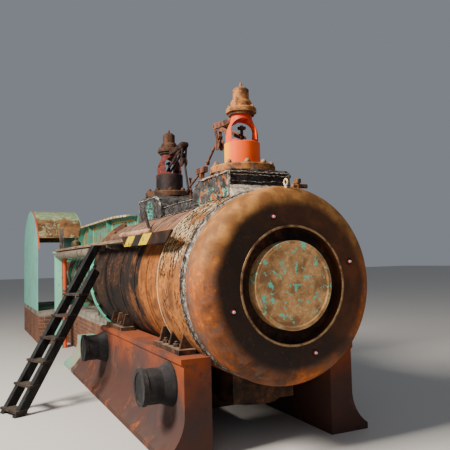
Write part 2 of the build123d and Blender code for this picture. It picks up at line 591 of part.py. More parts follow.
def ladder():
    """Loose ladder that leans under the walkway at an angle to the engine, one stile broken off short."""
    head = Vector(LADDER_TOP[0], LADDER_TOP[1], level(LADDER_TOP[2]))
    foot = Vector(LADDER_FOOT[0], LADDER_FOOT[1], 0)
    up = (head - foot).normalized()
    across = Vector(head.Y - foot.Y, foot.X - head.X, 0).normalized()
    length = (head - foot).length
    frame = Plane(origin=foot, x_dir=across, z_dir=up)
    stiles, notches = [], []
    for side, end in ((-1, length + 80), (1, SHORT_STILE_L)):
        stile = frame * (Pos(side * LADDER_HALF_W, 0, (end - 80) / 2) * Box(STILE_W, STILE_D, end + 80))
        stile &= block((-9000, 3000), (-4000, 0), (0, head.Z - BOARD_T - SEAT_GAP))
        stiles += stile.solids()
        notches.append(frame * (Pos(side * LADDER_HALF_W, TREAD_D / 2, length / 2)
                                * Box(STILE_W + 2 * SEAT_GAP, STILE_D + TREAD_D + 2 * SEAT_GAP, length + 400)))
    save("ladder_stiles", Compound(stiles))
    treads = []
    for i in range(TREADS):
        spot = foot + up * (TREAD_START + i * TREAD_PITCH)
        tread = Plane(origin=spot, x_dir=across, z_dir=(0, 0, 1)) * (Pos(0, -20, 0)
                                                                     * Box(2 * TREAD_HALF_L, TREAD_D, TREAD_T))
        for notch in notches:
            tread -= notch
        treads += tread.solids()
    save("ladder_treads", Compound(treads))


def trunk():
    """Round guide trunk behind the cylinder, on two saddles."""
    start = BARREL_BACK_X - REAR_FLANGE_W
    mouth = start - TRUNK_FLANGE_W
    outline = [Line((start, 0), (start, REAR_FLANGE_R)), Line((start, REAR_FLANGE_R), (mouth, REAR_FLANGE_R)),
               Line((mouth, REAR_FLANGE_R), (mouth, REAR_FLANGE_R - 120)),
               Spline((mouth, REAR_FLANGE_R - 120), (mouth - 230, TRUNK_R + 90), (mouth - 560, TRUNK_R),
                      tangents=((-1, -1), (-1, 0))),
               Line((mouth - 560, TRUNK_R), (TRUNK_END_X + 60, TRUNK_R)),
               Line((TRUNK_END_X + 60, TRUNK_R), (TRUNK_END_X + 60, TRUNK_R + 60)),
               Line((TRUNK_END_X + 60, TRUNK_R + 60), (TRUNK_END_X, TRUNK_R + 60)),
               Line((TRUNK_END_X, TRUNK_R + 60), (TRUNK_END_X, 0)),
               Line((TRUNK_END_X, 0), (start, 0))]
    body = Pos(0, 0, AXIS_H) * revolve(make_face(Wire(outline)), Axis.X)
    save("guide_trunk", body)
    gap = lathe_x((TRUNK_END_X, 0), (REAR_PLINTH_X, 0), (REAR_PLINTH_X, TRUNK_R + SEAT_GAP),
                  (TRUNK_END_X, TRUNK_R + SEAT_GAP))
    saddles = [block((x0, x0 + SADDLE_L), (-SADDLE_HALF_W, SADDLE_HALF_W), (REAR_BED_TOP, AXIS_H - 0.4 * TRUNK_R)) - gap
               for x0 in SADDLE_XS]
    save("trunk_saddles", Compound([solid for saddle in saddles for solid in saddle.solids()]))
    return body


def guard(trunk_body):
    """Arched guard on the trunk: two ribbed sides with a rim, and the sheet between them."""
    start = -VALVE_X - CHEST_OUT - SEAT_GAP
    top, base = level(GUARD_TOP), level(GUARD_LOW - 40)
    side_out = GUARD_HALF_W + GUARD_T + GUARD_RIM_W
    flange_x = BARREL_BACK_X - REAR_FLANGE_W
    under = block((GUARD_END_X - 1, start + 1), (-side_out, side_out), (0, level(GUARD_LOW)))
    under += cladding_space() + trunk_body
    under += lathe_x((flange_x, 0), (BARREL_BACK_X + SEAT_GAP, 0), (BARREL_BACK_X + SEAT_GAP, REAR_FLANGE_R + SEAT_GAP),
                     (flange_x, REAR_FLANGE_R + SEAT_GAP))

    def sheet(inset):
        nose = GUARD_NOSE_R - inset
        high = top - inset
        end = GUARD_END_X + inset
        level_end, nose_end = (GUARD_LEVEL_X, high), (end + nose, high)
        edge = [Line((start, base), (start, high - GUARD_DROP)),
                TangentArc(level_end, (start, high - GUARD_DROP), tangent=(1, 0)), Line(level_end, nose_end),
                TangentArc(nose_end, (end, high - nose), tangent=(-1, 0)),
                Line((end, high - nose), (end, base)), Line((end, base), (start, base))]
        return Plane.XZ * make_face(Wire(edge))

    full, inner = sheet(0), sheet(GUARD_RIM_T)
    rim = extrude(full, GUARD_RIM_W) - extrude(inner, GUARD_RIM_W)
    for name, side in (("near", -1), ("far", 1)):
        y = side * GUARD_HALF_W
        panel = Pos(0, y + GUARD_T / 2, 0) * extrude(full, GUARD_T)
        rim_y = y - GUARD_T / 2 if side < 0 else y + GUARD_T / 2 + GUARD_RIM_W
        panel += Pos(0, rim_y, 0) * rim
        for x in RIB_XS:
            depth = GUARD_RIM_W * 0.6
            ys = sorted((y + side * GUARD_T / 2, y + side * (GUARD_T / 2 + depth)))
            panel += block((x - RIB_T / 2, x + RIB_T / 2), ys, (base, top - GUARD_RIM_T))
        panel -= under
        save("guard_side_" + name, panel)
    inside = GUARD_HALF_W - GUARD_T / 2
    cover = Pos(0, inside, 0) * (extrude(full, 2 * inside) - extrude(inner, 2 * inside))
    cover -= under
    save("guard_cover", cover)


def hood():
    """Splasher hood with its side plates, on a plinth of its own."""
    centre_z, edge = level(HOOD_CENTRE_Z), level(HOOD_EDGE_Z)
    half = sqrt(HOOD_R ** 2 - (edge - centre_z) ** 2)
    crown = centre_z + HOOD_R
    arc = ThreePointArc((HOOD_X - half, edge), (HOOD_X, crown), (HOOD_X + half, edge))
    legs = Polyline((HOOD_X + half, edge), (HOOD_X + half, HOOD_BED_TOP), (HOOD_X - half, HOOD_BED_TOP),
                    (HOOD_X - half, edge))
    side_face = Plane.XZ * make_face(Wire([arc, *legs.edges()]))
    for name, y in (("near", HOOD_Y[0]), ("far", HOOD_Y[1] - HOOD_T)):
        save("hood_side_" + name, Pos(0, y + HOOD_T, 0) * extrude(side_face, HOOD_T))
    low_y, high_y = HOOD_Y[0] + HOOD_T, HOOD_Y[1] - HOOD_T
    drum = Pos(HOOD_X, (low_y + high_y) / 2, centre_z) * Rot(90, 0, 0) * Cylinder(HOOD_R, high_y - low_y)
    drum -= Pos(HOOD_X, (low_y + high_y) / 2, centre_z) * Rot(90, 0, 0) * Cylinder(HOOD_R - HOOD_T,
                                                                               high_y - low_y + 2)
    drum &= block((HOOD_X - half, HOOD_X + half), (low_y, high_y), (edge, crown + 1))
    save("hood_sheet", drum)


def lifting_eye(casing):
    """Ring on a short stem at the crown of the end casing."""
    x = STRIP_X + STRIP_W + CASING_L - EYE_SETBACK
    rise = SHOULDER_RAD * sqrt(1 - ((SHOULDER_AX - EYE_SETBACK) / SHOULDER_AX) ** 2)
    crown = AXIS_H + CASING_R - SHOULDER_RAD + rise
    eye = Pos(x, 0, crown + 48) * Rot(90, 0, 0) * Torus(28, 8)
    eye += Pos(x, 0, crown + 6) * Cylinder(13, 36)
    save("lifting_eye", eye - casing)


def relief_cock():
    """Relief cock on the far shoulder of the front cladding."""
    x, y = COCK
    foot = level(sqrt(CLAD_FRONT_R ** 2 - (y + 30) ** 2))
    top = level(CLAD_FRONT_R + 95)
    cock = bar((x, y, foot - 60), (x, y, top), 26)
    cock += bar((x, y - 60, top - 40), (x, y + 110, top - 40), 22)
    cock += Pos(x, y, top + 10) * Cylinder(38, 40)
    save("relief_cock", cock - cladding_space())


os.makedirs("parts", exist_ok=True)
cylinder()
seams()
chest("front", 1)
chest("rear", -1)
bridge()
save("exhaust_chests", Compound([exhaust_chest(1), exhaust_chest(-1)]))
save("exhaust_branches", Compound([exhaust_branch(1), exhaust_branch(-1)]))
save("valve_spindles", Compound([bonnet("front", 1), bonnet("rear", -1)]))
trip_gear("front", 1, FRONT_ROD_END)
trip_gear("rear", -1, REAR_ROD_END)
trip_stands()
feet()
plinths()
walkway()
ladder()
guard(trunk())
hood()
relief_cock()
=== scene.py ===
import math

import bmesh
import bpy
from mathutils import Matrix, Vector, noise


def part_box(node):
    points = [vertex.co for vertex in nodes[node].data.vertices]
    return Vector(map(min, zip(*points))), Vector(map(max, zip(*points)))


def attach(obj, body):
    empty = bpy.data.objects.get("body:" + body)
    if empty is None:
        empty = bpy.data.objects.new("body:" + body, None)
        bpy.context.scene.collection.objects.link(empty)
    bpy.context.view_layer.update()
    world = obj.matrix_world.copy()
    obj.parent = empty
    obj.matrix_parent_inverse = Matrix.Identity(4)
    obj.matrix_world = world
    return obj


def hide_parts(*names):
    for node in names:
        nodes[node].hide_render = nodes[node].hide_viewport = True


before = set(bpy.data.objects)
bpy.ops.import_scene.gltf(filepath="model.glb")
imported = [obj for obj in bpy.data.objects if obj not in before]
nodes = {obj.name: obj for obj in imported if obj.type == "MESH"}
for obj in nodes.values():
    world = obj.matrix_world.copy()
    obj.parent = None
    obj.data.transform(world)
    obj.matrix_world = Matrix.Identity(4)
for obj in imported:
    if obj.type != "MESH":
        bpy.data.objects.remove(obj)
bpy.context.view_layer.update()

# Camera at the photograph's place: low beside the domed end of the cylinder, looking back along
# the engine. The lens and the turn were fitted to the round ends of the cylinder.
CAMERA_SPOT = (6.186, -2.626, 1.748)
YAW, PITCH, ROLL = (math.radians(a) for a in (25.45, 3.52, -1.34))
ahead = Vector((-math.cos(YAW) * math.cos(PITCH), math.sin(YAW) * math.cos(PITCH), math.sin(PITCH)))
level_right = ahead.cross(Vector((0, 0, 1))).normalized()
level_up = level_right.cross(ahead)
right = math.cos(ROLL) * level_right + math.sin(ROLL) * level_up
up = -math.sin(ROLL) * level_right + math.cos(ROLL) * level_up
lens = bpy.data.cameras.new("lens")
lens.lens = 43.86
lens.clip_start, lens.clip_end = 0.1, 200
camera = bpy.data.objects.new("camera", lens)
camera.matrix_world = Matrix.Translation(CAMERA_SPOT) @ Matrix((right, up, -ahead)).transposed().to_4x4()
bpy.context.collection.objects.link(camera)
bpy.context.scene.camera = camera

# Masonry blocks: brick walls with a stone coping under the guide trunk and the hood.
# Red-brown bricks in lime mortar, laid in running bond; the coping is one course of grey stone.
BRICK_L, COURSE_H, BRICK_W, JOINT = 0.225, 0.075, 0.1, 0.010
SHORTEST_BRICK, BRICK_TILT = 0.03, 0.4
COPING_H, COPING_BLOCK, COPING_ROUND = 0.09, 0.62, 0.008
MORTAR_INSET = 0.007


def paint(red, green, blue):
    """A colour seen on a screen, 0 to 255, as the shader wants it."""
    shares = (v / 255 for v in (red, green, blue))
    return (*(((v + 0.055) / 1.055) ** 2.4 if v > 0.04 else v / 12.92 for v in shares), 1)


def put(tree, kind, inputs=(), **settings):
    """A node with its settings and inputs; an input is a value or another node's output."""
    node = tree.nodes.new(kind)
    for key, value in settings.items():
        setattr(node, key, value)
    for key, value in dict(inputs).items():
        if isinstance(value, bpy.types.NodeSocket):
            tree.links.new(value, node.inputs[key])
        else:
            node.inputs[key].default_value = value
    return node


def sums(tree, operation, first, second=0.0):
    """Arithmetic on numbers in a tree."""
    return put(tree, "ShaderNodeMath", {0: first, 1: second}, operation=operation).outputs[0]


def plus(tree, first, second):
    """Two numbers added."""
    return sums(tree, "ADD", first, second)


def minus(tree, first, second):
    """The second number taken from the first."""
    return sums(tree, "SUBTRACT", first, second)


def times(tree, first, second):
    """Two numbers multiplied."""
    return sums(tree, "MULTIPLY", first, second)


def vectors(tree, operation, first, second):
    """Arithmetic on vectors; the answer is [0], or "Value" where it is a number."""
    return put(tree, "ShaderNodeVectorMath", {0: first, 1: second}, operation=operation).outputs


def vector_of(tree, *parts):
    """A vector from its three numbers."""
    return put(tree, "ShaderNodeCombineXYZ", dict(enumerate(parts))).outputs[0]


def random_vector(tree, low, high, seed):
    """A random vector for each point, between two others."""
    return put(tree, "FunctionNodeRandomValue", {0: low, 1: high, "Seed": seed},
               data_type="FLOAT_VECTOR").outputs[0]


def place_of(tree):
    """The place on the object, which the patterns follow."""
    return put(tree, "ShaderNodeTexCoord").outputs["Object"]


def step(tree, value, low, high):
    """0 below low, 1 above high, smooth between."""
    return put(tree, "ShaderNodeMapRange", {"Value": value, "From Min": low, "From Max": high},
               interpolation_type="SMOOTHSTEP").outputs["Result"]


def blend(tree, share, under, over):
    """One colour over another."""
    return put(tree, "ShaderNodeMix", {0: share, 6: under, 7: over}, data_type="RGBA").outputs[2]


def grain(tree, place, scale, detail=6.0, rough=0.6, bend=0.0):
    """Cloudy noise."""
    return put(tree, "ShaderNodeTexNoise", {"Vector": place, "Scale": scale, "Detail": detail,
                                            "Roughness": rough, "Distortion": bend}).outputs["Fac"]


def patches(tree, place, low, high, *noise_sizes):
    """Cloudy patches: 0 where the noise is below low, 1 where it is above high."""
    return step(tree, grain(tree, place, *noise_sizes), low, high)


def material(name):
    """A material with its tree, its shader and the place on the object."""
    made = bpy.data.materials.new(name)
    made.use_nodes = True
    tree = made.node_tree
    shader = tree.nodes["Principled BSDF"]
    shader.inputs["Specular IOR Level"].default_value = 0.22
    return made, tree, shader, place_of(tree)


def surface(tree, shader, colour, rough):
    """Colour and roughness of a material; the roughness is one number or changes over the surface."""
    tree.links.new(colour, shader.inputs["Base Color"])
    if isinstance(rough, bpy.types.NodeSocket):
        tree.links.new(rough, shader.inputs["Roughness"])
    else:
        shader.inputs["Roughness"].default_value = rough


def bump(tree, shader, height, strength, distance):
    """Relief in the shading."""
    made = put(tree, "ShaderNodeBump", {"Height": height, "Strength": strength, "Distance": distance})
    tree.links.new(made.outputs["Normal"], shader.inputs["Normal"])


def growth(name, takes):
    """An empty Geometry Nodes tree with named inputs for its sizes."""
    tree = bpy.data.node_groups.new(name, "GeometryNodeTree")
    kinds = {float: "NodeSocketFloat", int: "NodeSocketInt", tuple: "NodeSocketVector"}
    tree.interface.new_socket("Geometry", in_out="INPUT", socket_type="NodeSocketGeometry")
    for socket, default in takes.items():
        made = tree.interface.new_socket(socket, in_out="INPUT", socket_type=kinds[type(default)])
        made.default_value = default
    tree.interface.new_socket("Material", in_out="INPUT", socket_type="NodeSocketMaterial")
    tree.interface.new_socket("Geometry", in_out="OUTPUT", socket_type="NodeSocketGeometry")
    return tree, tree.nodes.new("NodeGroupInput").outputs


def close(tree, takes, geometry):
    """Ends a tree in Realize Instances and Set Material."""
    real = put(tree, "GeometryNodeRealizeInstances", {"Geometry": geometry}).outputs[0]
    done = put(tree, "GeometryNodeSetMaterial", {"Geometry": real, "Material": takes["Material"]}).outputs[0]
    tree.links.new(done, tree.nodes.new("NodeGroupOutput").inputs[0])


def shown(name, data):
    """An object at the origin, linked to the scene."""
    made = bpy.data.objects.new(name, data)
    bpy.context.collection.objects.link(made)
    return made


def grow_on(carrier, tree, sizes):
    """Puts a tree on an object, with its inputs set by their sockets' identifiers."""
    modifier = carrier.modifiers.new("grow", "NODES")
    modifier.node_group = tree
    for item in tree.interface.items_tree:
        if item.in_out == "INPUT" and item.name in sizes:
            modifier[item.identifier] = sizes[item.name]


def take_off(carrier, body):
    """Adds the plain mesh of an object to a bmesh and removes the object with its modifiers."""
    bpy.context.view_layer.update()
    mesh = bpy.data.meshes.new_from_object(carrier.evaluated_get(bpy.context.evaluated_depsgraph_get()))
    body.from_mesh(mesh)
    bpy.data.objects.remove(carrier)
    bpy.data.meshes.remove(mesh)


def piece(name, body, finish, smooth=False):
    """A finished object from a bmesh."""
    mesh = bpy.data.meshes.new(name)
    body.to_mesh(mesh)
    body.free()
    mesh.materials.clear()
    mesh.materials.append(finish)
    for face in mesh.polygons:
        face.material_index = 0
        face.use_smooth = smooth
    return shown(name, mesh)


def grown(name, tree, runs, finish, start=None):
    """One plain mesh from several runs of a tree, each with its own sizes."""
    whole = bmesh.new()
    for sizes in runs:
        carrier = shown(name + "_run", start.copy() if start else bpy.data.meshes.new(name))
        grow_on(carrier, tree, {**sizes, "Material": finish})
        take_off(carrier, whole)
    return piece(name, whole, finish)


def fixed(made, node=None):
    """A piece that stays on the engine's fixed body, and the node that it takes the place of, if any."""
    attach(made, "engine")
    if node:
        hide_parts(node)


def box_mesh(body, low, high):
    """A box into a bmesh."""
    low, high = Vector(low), Vector(high)
    matrix = Matrix.Translation((low + high) / 2) @ Matrix.Diagonal((*(high - low), 1))
    bmesh.ops.create_cube(body, size=1, matrix=matrix)


bricks, takes = growth("brick_face", {"Start": (0.0, 0.0, 0.0), "Turn": 0.0, "Length": 1.0, "Courses": 5,
                                      "Seed": 1})
columns = plus(bricks, sums(bricks, "DIVIDE", takes["Length"], BRICK_L), 2.0)
columns = put(bricks, "FunctionNodeFloatToInt", {0: columns}, rounding_mode="FLOOR").outputs[0]
count = times(bricks, columns, takes["Courses"])
points = put(bricks, "GeometryNodePoints", {"Count": count}).outputs[0]
index = put(bricks, "GeometryNodeInputIndex").outputs[0]
row = sums(bricks, "FLOOR", sums(bricks, "DIVIDE", index, columns))
column = minus(bricks, index, times(bricks, row, columns))
shift = times(bricks, sums(bricks, "MODULO", row, 2.0), BRICK_L / 2)
left = minus(bricks, times(bricks, column, BRICK_L), shift)
from_x = sums(bricks, "MAXIMUM", left, 0.0)
to_x = sums(bricks, "MINIMUM", plus(bricks, left, BRICK_L), takes["Length"])
long = minus(bricks, minus(bricks, to_x, from_x), JOINT)
spot = vector_of(bricks, times(bricks, plus(bricks, from_x, to_x), 0.5), BRICK_W / 2,
                 plus(bricks, times(bricks, row, COURSE_H), COURSE_H / 2))
placed = put(bricks, "GeometryNodeSetPosition", {"Geometry": points, "Position": spot}).outputs[0]
tilt = random_vector(bricks, (-0.012, -0.008, -0.012), (0.0, 0.008, 0.012), takes["Seed"])
tilt = vectors(bricks, "MULTIPLY", tilt, (BRICK_TILT,) * 3)[0]
brick = put(bricks, "GeometryNodeMeshCube", {"Size": (1.0, BRICK_W, COURSE_H - JOINT)}).outputs[0]
laid = put(bricks, "GeometryNodeInstanceOnPoints", {
    "Points": placed, "Instance": brick, "Selection": sums(bricks, "GREATER_THAN", long, SHORTEST_BRICK),
    "Scale": vector_of(bricks, long, 0.94, 1.0)}).outputs[0]
tilted = put(bricks, "GeometryNodeRotateInstances", {"Instances": laid, "Rotation": tilt}).outputs[0]
whole = put(bricks, "GeometryNodeRealizeInstances", {"Geometry": tilted}).outputs[0]
turned = put(bricks, "GeometryNodeTransform", {
    "Geometry": whole, "Translation": takes["Start"],
    "Rotation": vector_of(bricks, 0.0, 0.0, takes["Turn"])}).outputs[0]
close(bricks, takes, turned)

brick_finish, tree, shader, place = material("old_brick")
tone = put(tree, "ShaderNodeTexVoronoi", {"Vector": place, "Scale": 5.0}).outputs["Color"]
tone = put(tree, "ShaderNodeSeparateColor", {0: tone}).outputs[0]
soot = grain(tree, place, 2.2, 8)
clay = blend(tree, tone, paint(132, 84, 62), paint(96, 66, 54))
clay = blend(tree, patches(tree, place, 0.52, 0.75, 40, 4), clay, paint(160, 128, 104))
clay = blend(tree, times(tree, step(tree, soot, 0.5, 0.75), 0.6), clay, paint(52, 45, 42))
surface(tree, shader, clay, 0.93)
bump(tree, shader, grain(tree, place, 60, 8), 0.5, 0.004)

mortar_finish, tree, shader, place = material("lime_mortar")
lime = blend(tree, patches(tree, place, 0.35, 0.7, 3, 8), paint(148, 140, 126), paint(96, 90, 82))
surface(tree, shader, lime, 0.96)
bump(tree, shader, grain(tree, place, 90, 6), 0.5, 0.003)

stone_finish, tree, shader, place = material("coping_stone")
stone = blend(tree, patches(tree, place, 0.35, 0.68, 2.5, 9), paint(156, 148, 134), paint(92, 84, 76))
stone = blend(tree, patches(tree, place, 0.55, 0.7, 1.1, 4), stone, paint(64, 55, 48))
surface(tree, shader, stone, 0.9)
bump(tree, shader, grain(tree, place, 45, 10, 0.7), 0.6, 0.006)

for number, name in enumerate(("rear_plinth", "hood_plinth")):
    low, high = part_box(name)
    size = high - low
    wall_top = high.z - COPING_H
    courses = int((wall_top + 0.001) / COURSE_H)
    core = bmesh.new()
    inset = Vector((MORTAR_INSET, MORTAR_INSET, 0))
    box_mesh(core, low + inset, (*(high - inset).xy, wall_top))
    fixed(piece(name + "_mortar", core, mortar_finish), name)
    faces = [((low.x, low.y, 0), 0.0, size.x), ((high.x, high.y, 0), math.pi, size.x),
             ((high.x, low.y, 0), math.pi / 2, size.y), ((low.x, high.y, 0), -math.pi / 2, size.y)]
    wall = grown(name + "_bricks", bricks, [
        {"Start": start, "Turn": turn, "Length": length, "Courses": courses, "Seed": number * 4 + side}
        for side, (start, turn, length) in enumerate(faces)], brick_finish)
    fixed(wall)
    top = bmesh.new()
    box_mesh(top, (low.x, low.y, wall_top), high)
    long_axis = 0 if size.x > size.y else 1
    for cut in range(1, int(size[long_axis] / COPING_BLOCK) + 1):
        spot, normal = Vector(low), Vector((0, 0, 0))
        spot[long_axis] += cut * COPING_BLOCK
        normal[long_axis] = 1
        everything = top.verts[:] + top.edges[:] + top.faces[:]
        bmesh.ops.bisect_plane(top, geom=everything, plane_co=spot, plane_no=normal)
    cuts = [e for e in top.edges if len(e.link_faces) == 2
            and abs(e.verts[0].co[long_axis] - e.verts[1].co[long_axis]) < 1e-5
            and abs(e.link_faces[0].normal.dot(e.link_faces[1].normal)) > 0.9]
    bmesh.ops.split_edges(top, edges=cuts)
    bmesh.ops.holes_fill(top, edges=[e for e in top.edges if e.is_boundary], sides=4)
    bmesh.ops.recalc_face_normals(top, faces=top.faces[:])
    bmesh.ops.bevel(top, geom=[e for e in top.edges if len(e.link_faces) == 2], offset=COPING_ROUND,
                    segments=2, affect="EDGES")
    fixed(piece(name + "_coping", top, stone_finish))

# Feet, exhaust chests and branches: grey-brown cast iron under the cylinder, bolted down on its bed.
# Bare iron with dark scale, dust on top and orange rust where water ran.


def rest(tree, share):
    """What a share leaves of the whole."""
    return minus(tree, 1.0, share)


def parts_of(tree, vector):
    """The three numbers of a vector."""
    return put(tree, "ShaderNodeSeparateXYZ", {0: vector}).outputs


def facing_of(tree):
    """The way that the surface faces."""
    return put(tree, "ShaderNodeNewGeometry").outputs["Normal"]


def shader_group(name, takes, gives):
    """An empty node group with named sockets."""
    tree = bpy.data.node_groups.new(name, "ShaderNodeTree")
    kinds = {"value": "NodeSocketFloat", "colour": "NodeSocketColor", "vector": "NodeSocketVector"}
    for socket, (kind, default) in takes.items():
        made = tree.interface.new_socket(socket, in_out="INPUT", socket_type=kinds[kind])
        made.default_value = default
    for socket, kind in gives.items():
        tree.interface.new_socket(socket, in_out="OUTPUT", socket_type=kinds[kind])
    return tree, tree.nodes.new("NodeGroupInput").outputs, tree.nodes.new("NodeGroupOutput")


def rust_group():
    """Rust in three tones with its roughness and relief, for every rusty finish."""
    tree, takes, gives = shader_group("rust_bloom", {
        "Scale": ("value", 3.0), "Shine": ("value", 0.0), "Dark": ("colour", (0.05, 0.03, 0.02, 1)),
        "Middle": ("colour", (0.2, 0.08, 0.03, 1)), "Bright": ("colour", (0.5, 0.2, 0.05, 1))},
        {"Color": "colour", "Roughness": "value", "Height": "value"})
    place = place_of(tree)
    broad = grain(tree, place, takes["Scale"], 9, 0.62, 0.4)
    fine = grain(tree, place, times(tree, takes["Scale"], 7.0), 9, 0.7, 0.2)
    speck = grain(tree, place, times(tree, takes["Scale"], 38.0), 3, 0.6)
    colour = blend(tree, step(tree, broad, 0.36, 0.58), takes["Dark"], takes["Middle"])
    bright = times(tree, step(tree, fine, 0.46, 0.66), step(tree, broad, 0.42, 0.62))
    colour = blend(tree, bright, colour, takes["Bright"])
    colour = blend(tree, times(tree, step(tree, speck, 0.56, 0.7), 0.5), colour, takes["Dark"])
    height = plus(tree, times(tree, fine, 0.7), times(tree, speck, 0.3))
    rough = minus(tree, plus(tree, 0.62, times(tree, fine, 0.4)), takes["Shine"])
    for socket, value in (("Color", colour), ("Roughness", rough), ("Height", height)):
        tree.links.new(value, gives.inputs[socket])
    return tree


def loss_group():
    """Where paint has flaked off, with the step at its edge."""
    tree, takes, gives = shader_group("paint_loss", {"Scale": ("value", 5.0), "Loss": ("value", 0.4)},
                                      {"Bare": "value", "Height": "value"})
    place = place_of(tree)
    cloud = grain(tree, place, takes["Scale"], 11, 0.66, 0.5)
    limit = minus(tree, 0.72, times(tree, takes["Loss"], 0.44))
    bare = step(tree, cloud, limit, plus(tree, limit, 0.02))
    tree.links.new(bare, gives.inputs["Bare"])
    tree.links.new(rest(tree, bare), gives.inputs["Height"])
    return tree


def streak_group():
    """Stains that ran down: long in Z, narrow across."""
    tree, takes, gives = shader_group("run_marks", {"Across": ("value", 16.0), "Along": ("value", 1.2)},
                                      {"Mask": "value"})
    place = place_of(tree)
    size = vector_of(tree, takes["Across"], takes["Across"], takes["Along"])
    drawn = vectors(tree, "MULTIPLY", place, size)[0]
    tree.links.new(patches(tree, drawn, 0.46, 0.68, 1.0, 6, 0.6), gives.inputs["Mask"])
    return tree


def dust_group():
    """Dust and plaster that lie on what faces up."""
    tree, takes, gives = shader_group("lying_dust", {"Amount": ("value", 0.5)}, {"Mask": "value"})
    place = place_of(tree)
    facing = parts_of(tree, facing_of(tree))[2]
    lying = times(tree, step(tree, facing, 0.45, 1.0), patches(tree, place, 0.3, 0.7, 9, 8))
    tree.links.new(times(tree, lying, takes["Amount"]), gives.inputs["Mask"])
    return tree


def edge_group():
    """Edges rubbed bare."""
    tree, takes, gives = shader_group("rubbed_edges", {"Width": ("value", 0.006)}, {"Mask": "value"})
    place = place_of(tree)
    rounded = put(tree, "ShaderNodeBevel", {"Radius": takes["Width"]}, samples=3).outputs[0]
    same = vectors(tree, "DOT_PRODUCT", facing_of(tree), rounded)["Value"]
    edge = step(tree, rest(tree, same), 0.02, 0.16)
    worn = times(tree, edge, patches(tree, place, 0.35, 0.6, 18, 5))
    tree.links.new(worn, gives.inputs["Mask"])
    return tree


RUST, LOSS, STREAKS, DUST, EDGES = rust_group(), loss_group(), streak_group(), dust_group(), edge_group()
# The side that the sun reaches: paint that faces it is lightened there as painted sunlight.
SUNNY_SIDE = (-0.43, -0.90, 0.0)


def use(tree, group, inputs=()):
    """A shared group placed in a material."""
    return put(tree, "ShaderNodeGroup", inputs, node_tree=group).outputs


def rusted(tree, scale, dark, middle, bright, shine=0.0):
    """The shared rust in three tones, 0 to 255."""
    return use(tree, RUST, {"Scale": scale, "Dark": paint(*dark), "Middle": paint(*middle),
                            "Bright": paint(*bright), "Shine": shine})


def dress(finish, *names):
    """Gives a finish to pieces whose shape is right already."""
    for name in names:
        slots = nodes[name].data.materials
        if not slots:
            slots.append(finish)
        for i in range(len(slots)):
            slots[i] = finish


def iron_finish(name, dark, middle, bright, scale=3.0, coat=None, loss=0.4, loss_scale=5.0, streak=None,
                streak_share=0.0, dust=0.3, dust_tone=(168, 150, 126), edge=None, edge_w=0.006, shine=0.0,
                coat_rough=0.42, relief=0.5, depth=0.004, painted_sunlight=None):
    """Iron with rust, and over it what is left of its paint, run marks, dust and rubbed edges.

    Tones are 0 to 255: three of the rust, and one each of the paint, the marks, the dust and the edges.
    The tone given for the sunlit side is painted sunlight on the paint's side that faces SUNNY_SIDE.
    """
    made, tree, shader, place = material(name)
    rust = rusted(tree, scale, dark, middle, bright, shine)
    colour, rough, height = rust["Color"], rust["Roughness"], times(tree, rust["Height"], 0.5)
    if coat:
        flaked = use(tree, LOSS, {"Scale": loss_scale, "Loss": loss})
        fresh = paint(*coat)
        coat_colour = blend(tree, times(tree, patches(tree, place, 0.4, 0.7, 2.4, 6), 0.35), fresh,
                      (*(c * 0.55 for c in fresh[:3]), 1))
        # Painted sunlight: the paint is lightened on the side that faces SUNNY_SIDE.
        if painted_sunlight:
            sunny = vectors(tree, "DOT_PRODUCT", facing_of(tree), SUNNY_SIDE)["Value"]
            coat_colour = blend(tree, step(tree, sunny, 0.5, 1.0), coat_colour, paint(*painted_sunlight))
        colour = blend(tree, flaked["Bare"], coat_colour, colour)
        rough = plus(tree, times(tree, minus(tree, rough, coat_rough), flaked["Bare"]), coat_rough)
        height = plus(tree, times(tree, height, flaked["Bare"]), times(tree, flaked["Height"], 0.8))
    if streak:
        marks = use(tree, STREAKS)["Mask"]
        colour = blend(tree, times(tree, marks, streak_share), colour, paint(*streak))
    if edge:
        worn = use(tree, EDGES, {"Width": edge_w})["Mask"]
        colour = blend(tree, worn, colour, paint(*edge))
    if dust:
        lying = use(tree, DUST, {"Amount": dust})["Mask"]
        colour = blend(tree, lying, colour, paint(*dust_tone))
        rough = sums(tree, "MAXIMUM", rough, lying)
    surface(tree, shader, colour, rough)
    bump(tree, shader, height, relief, depth)
    return made


feet_finish = iron_finish("feet_iron", (38, 30, 26), (74, 52, 38), (128, 76, 44), 5.0, dust=0.6,
                          edge=(120, 84, 58))
dress(feet_finish, "front_feet", "rear_feet", "exhaust_chests")
branch_finish = iron_finish("branch_grey", (24, 24, 26), (40, 39, 40), (62, 57, 54), 3.0, dust=0.2,
                            dust_tone=(104, 98, 94), edge=(110, 104, 100))
dress(branch_finish, "exhaust_branches")

# Bed: cast frame under the cylinder with a flared skirt. Its red oxide paint has gone purple-grey with soot
# low down, and its far end has kept a cream and turquoise coat.
RED_FROM_Z, TAIL_X = 0.85, 3.2


def dusted(tree, colour, amount, tone):
    """A colour with the shared dust lying on it."""
    return blend(tree, use(tree, DUST, {"Amount": amount})["Mask"], colour, paint(*tone))


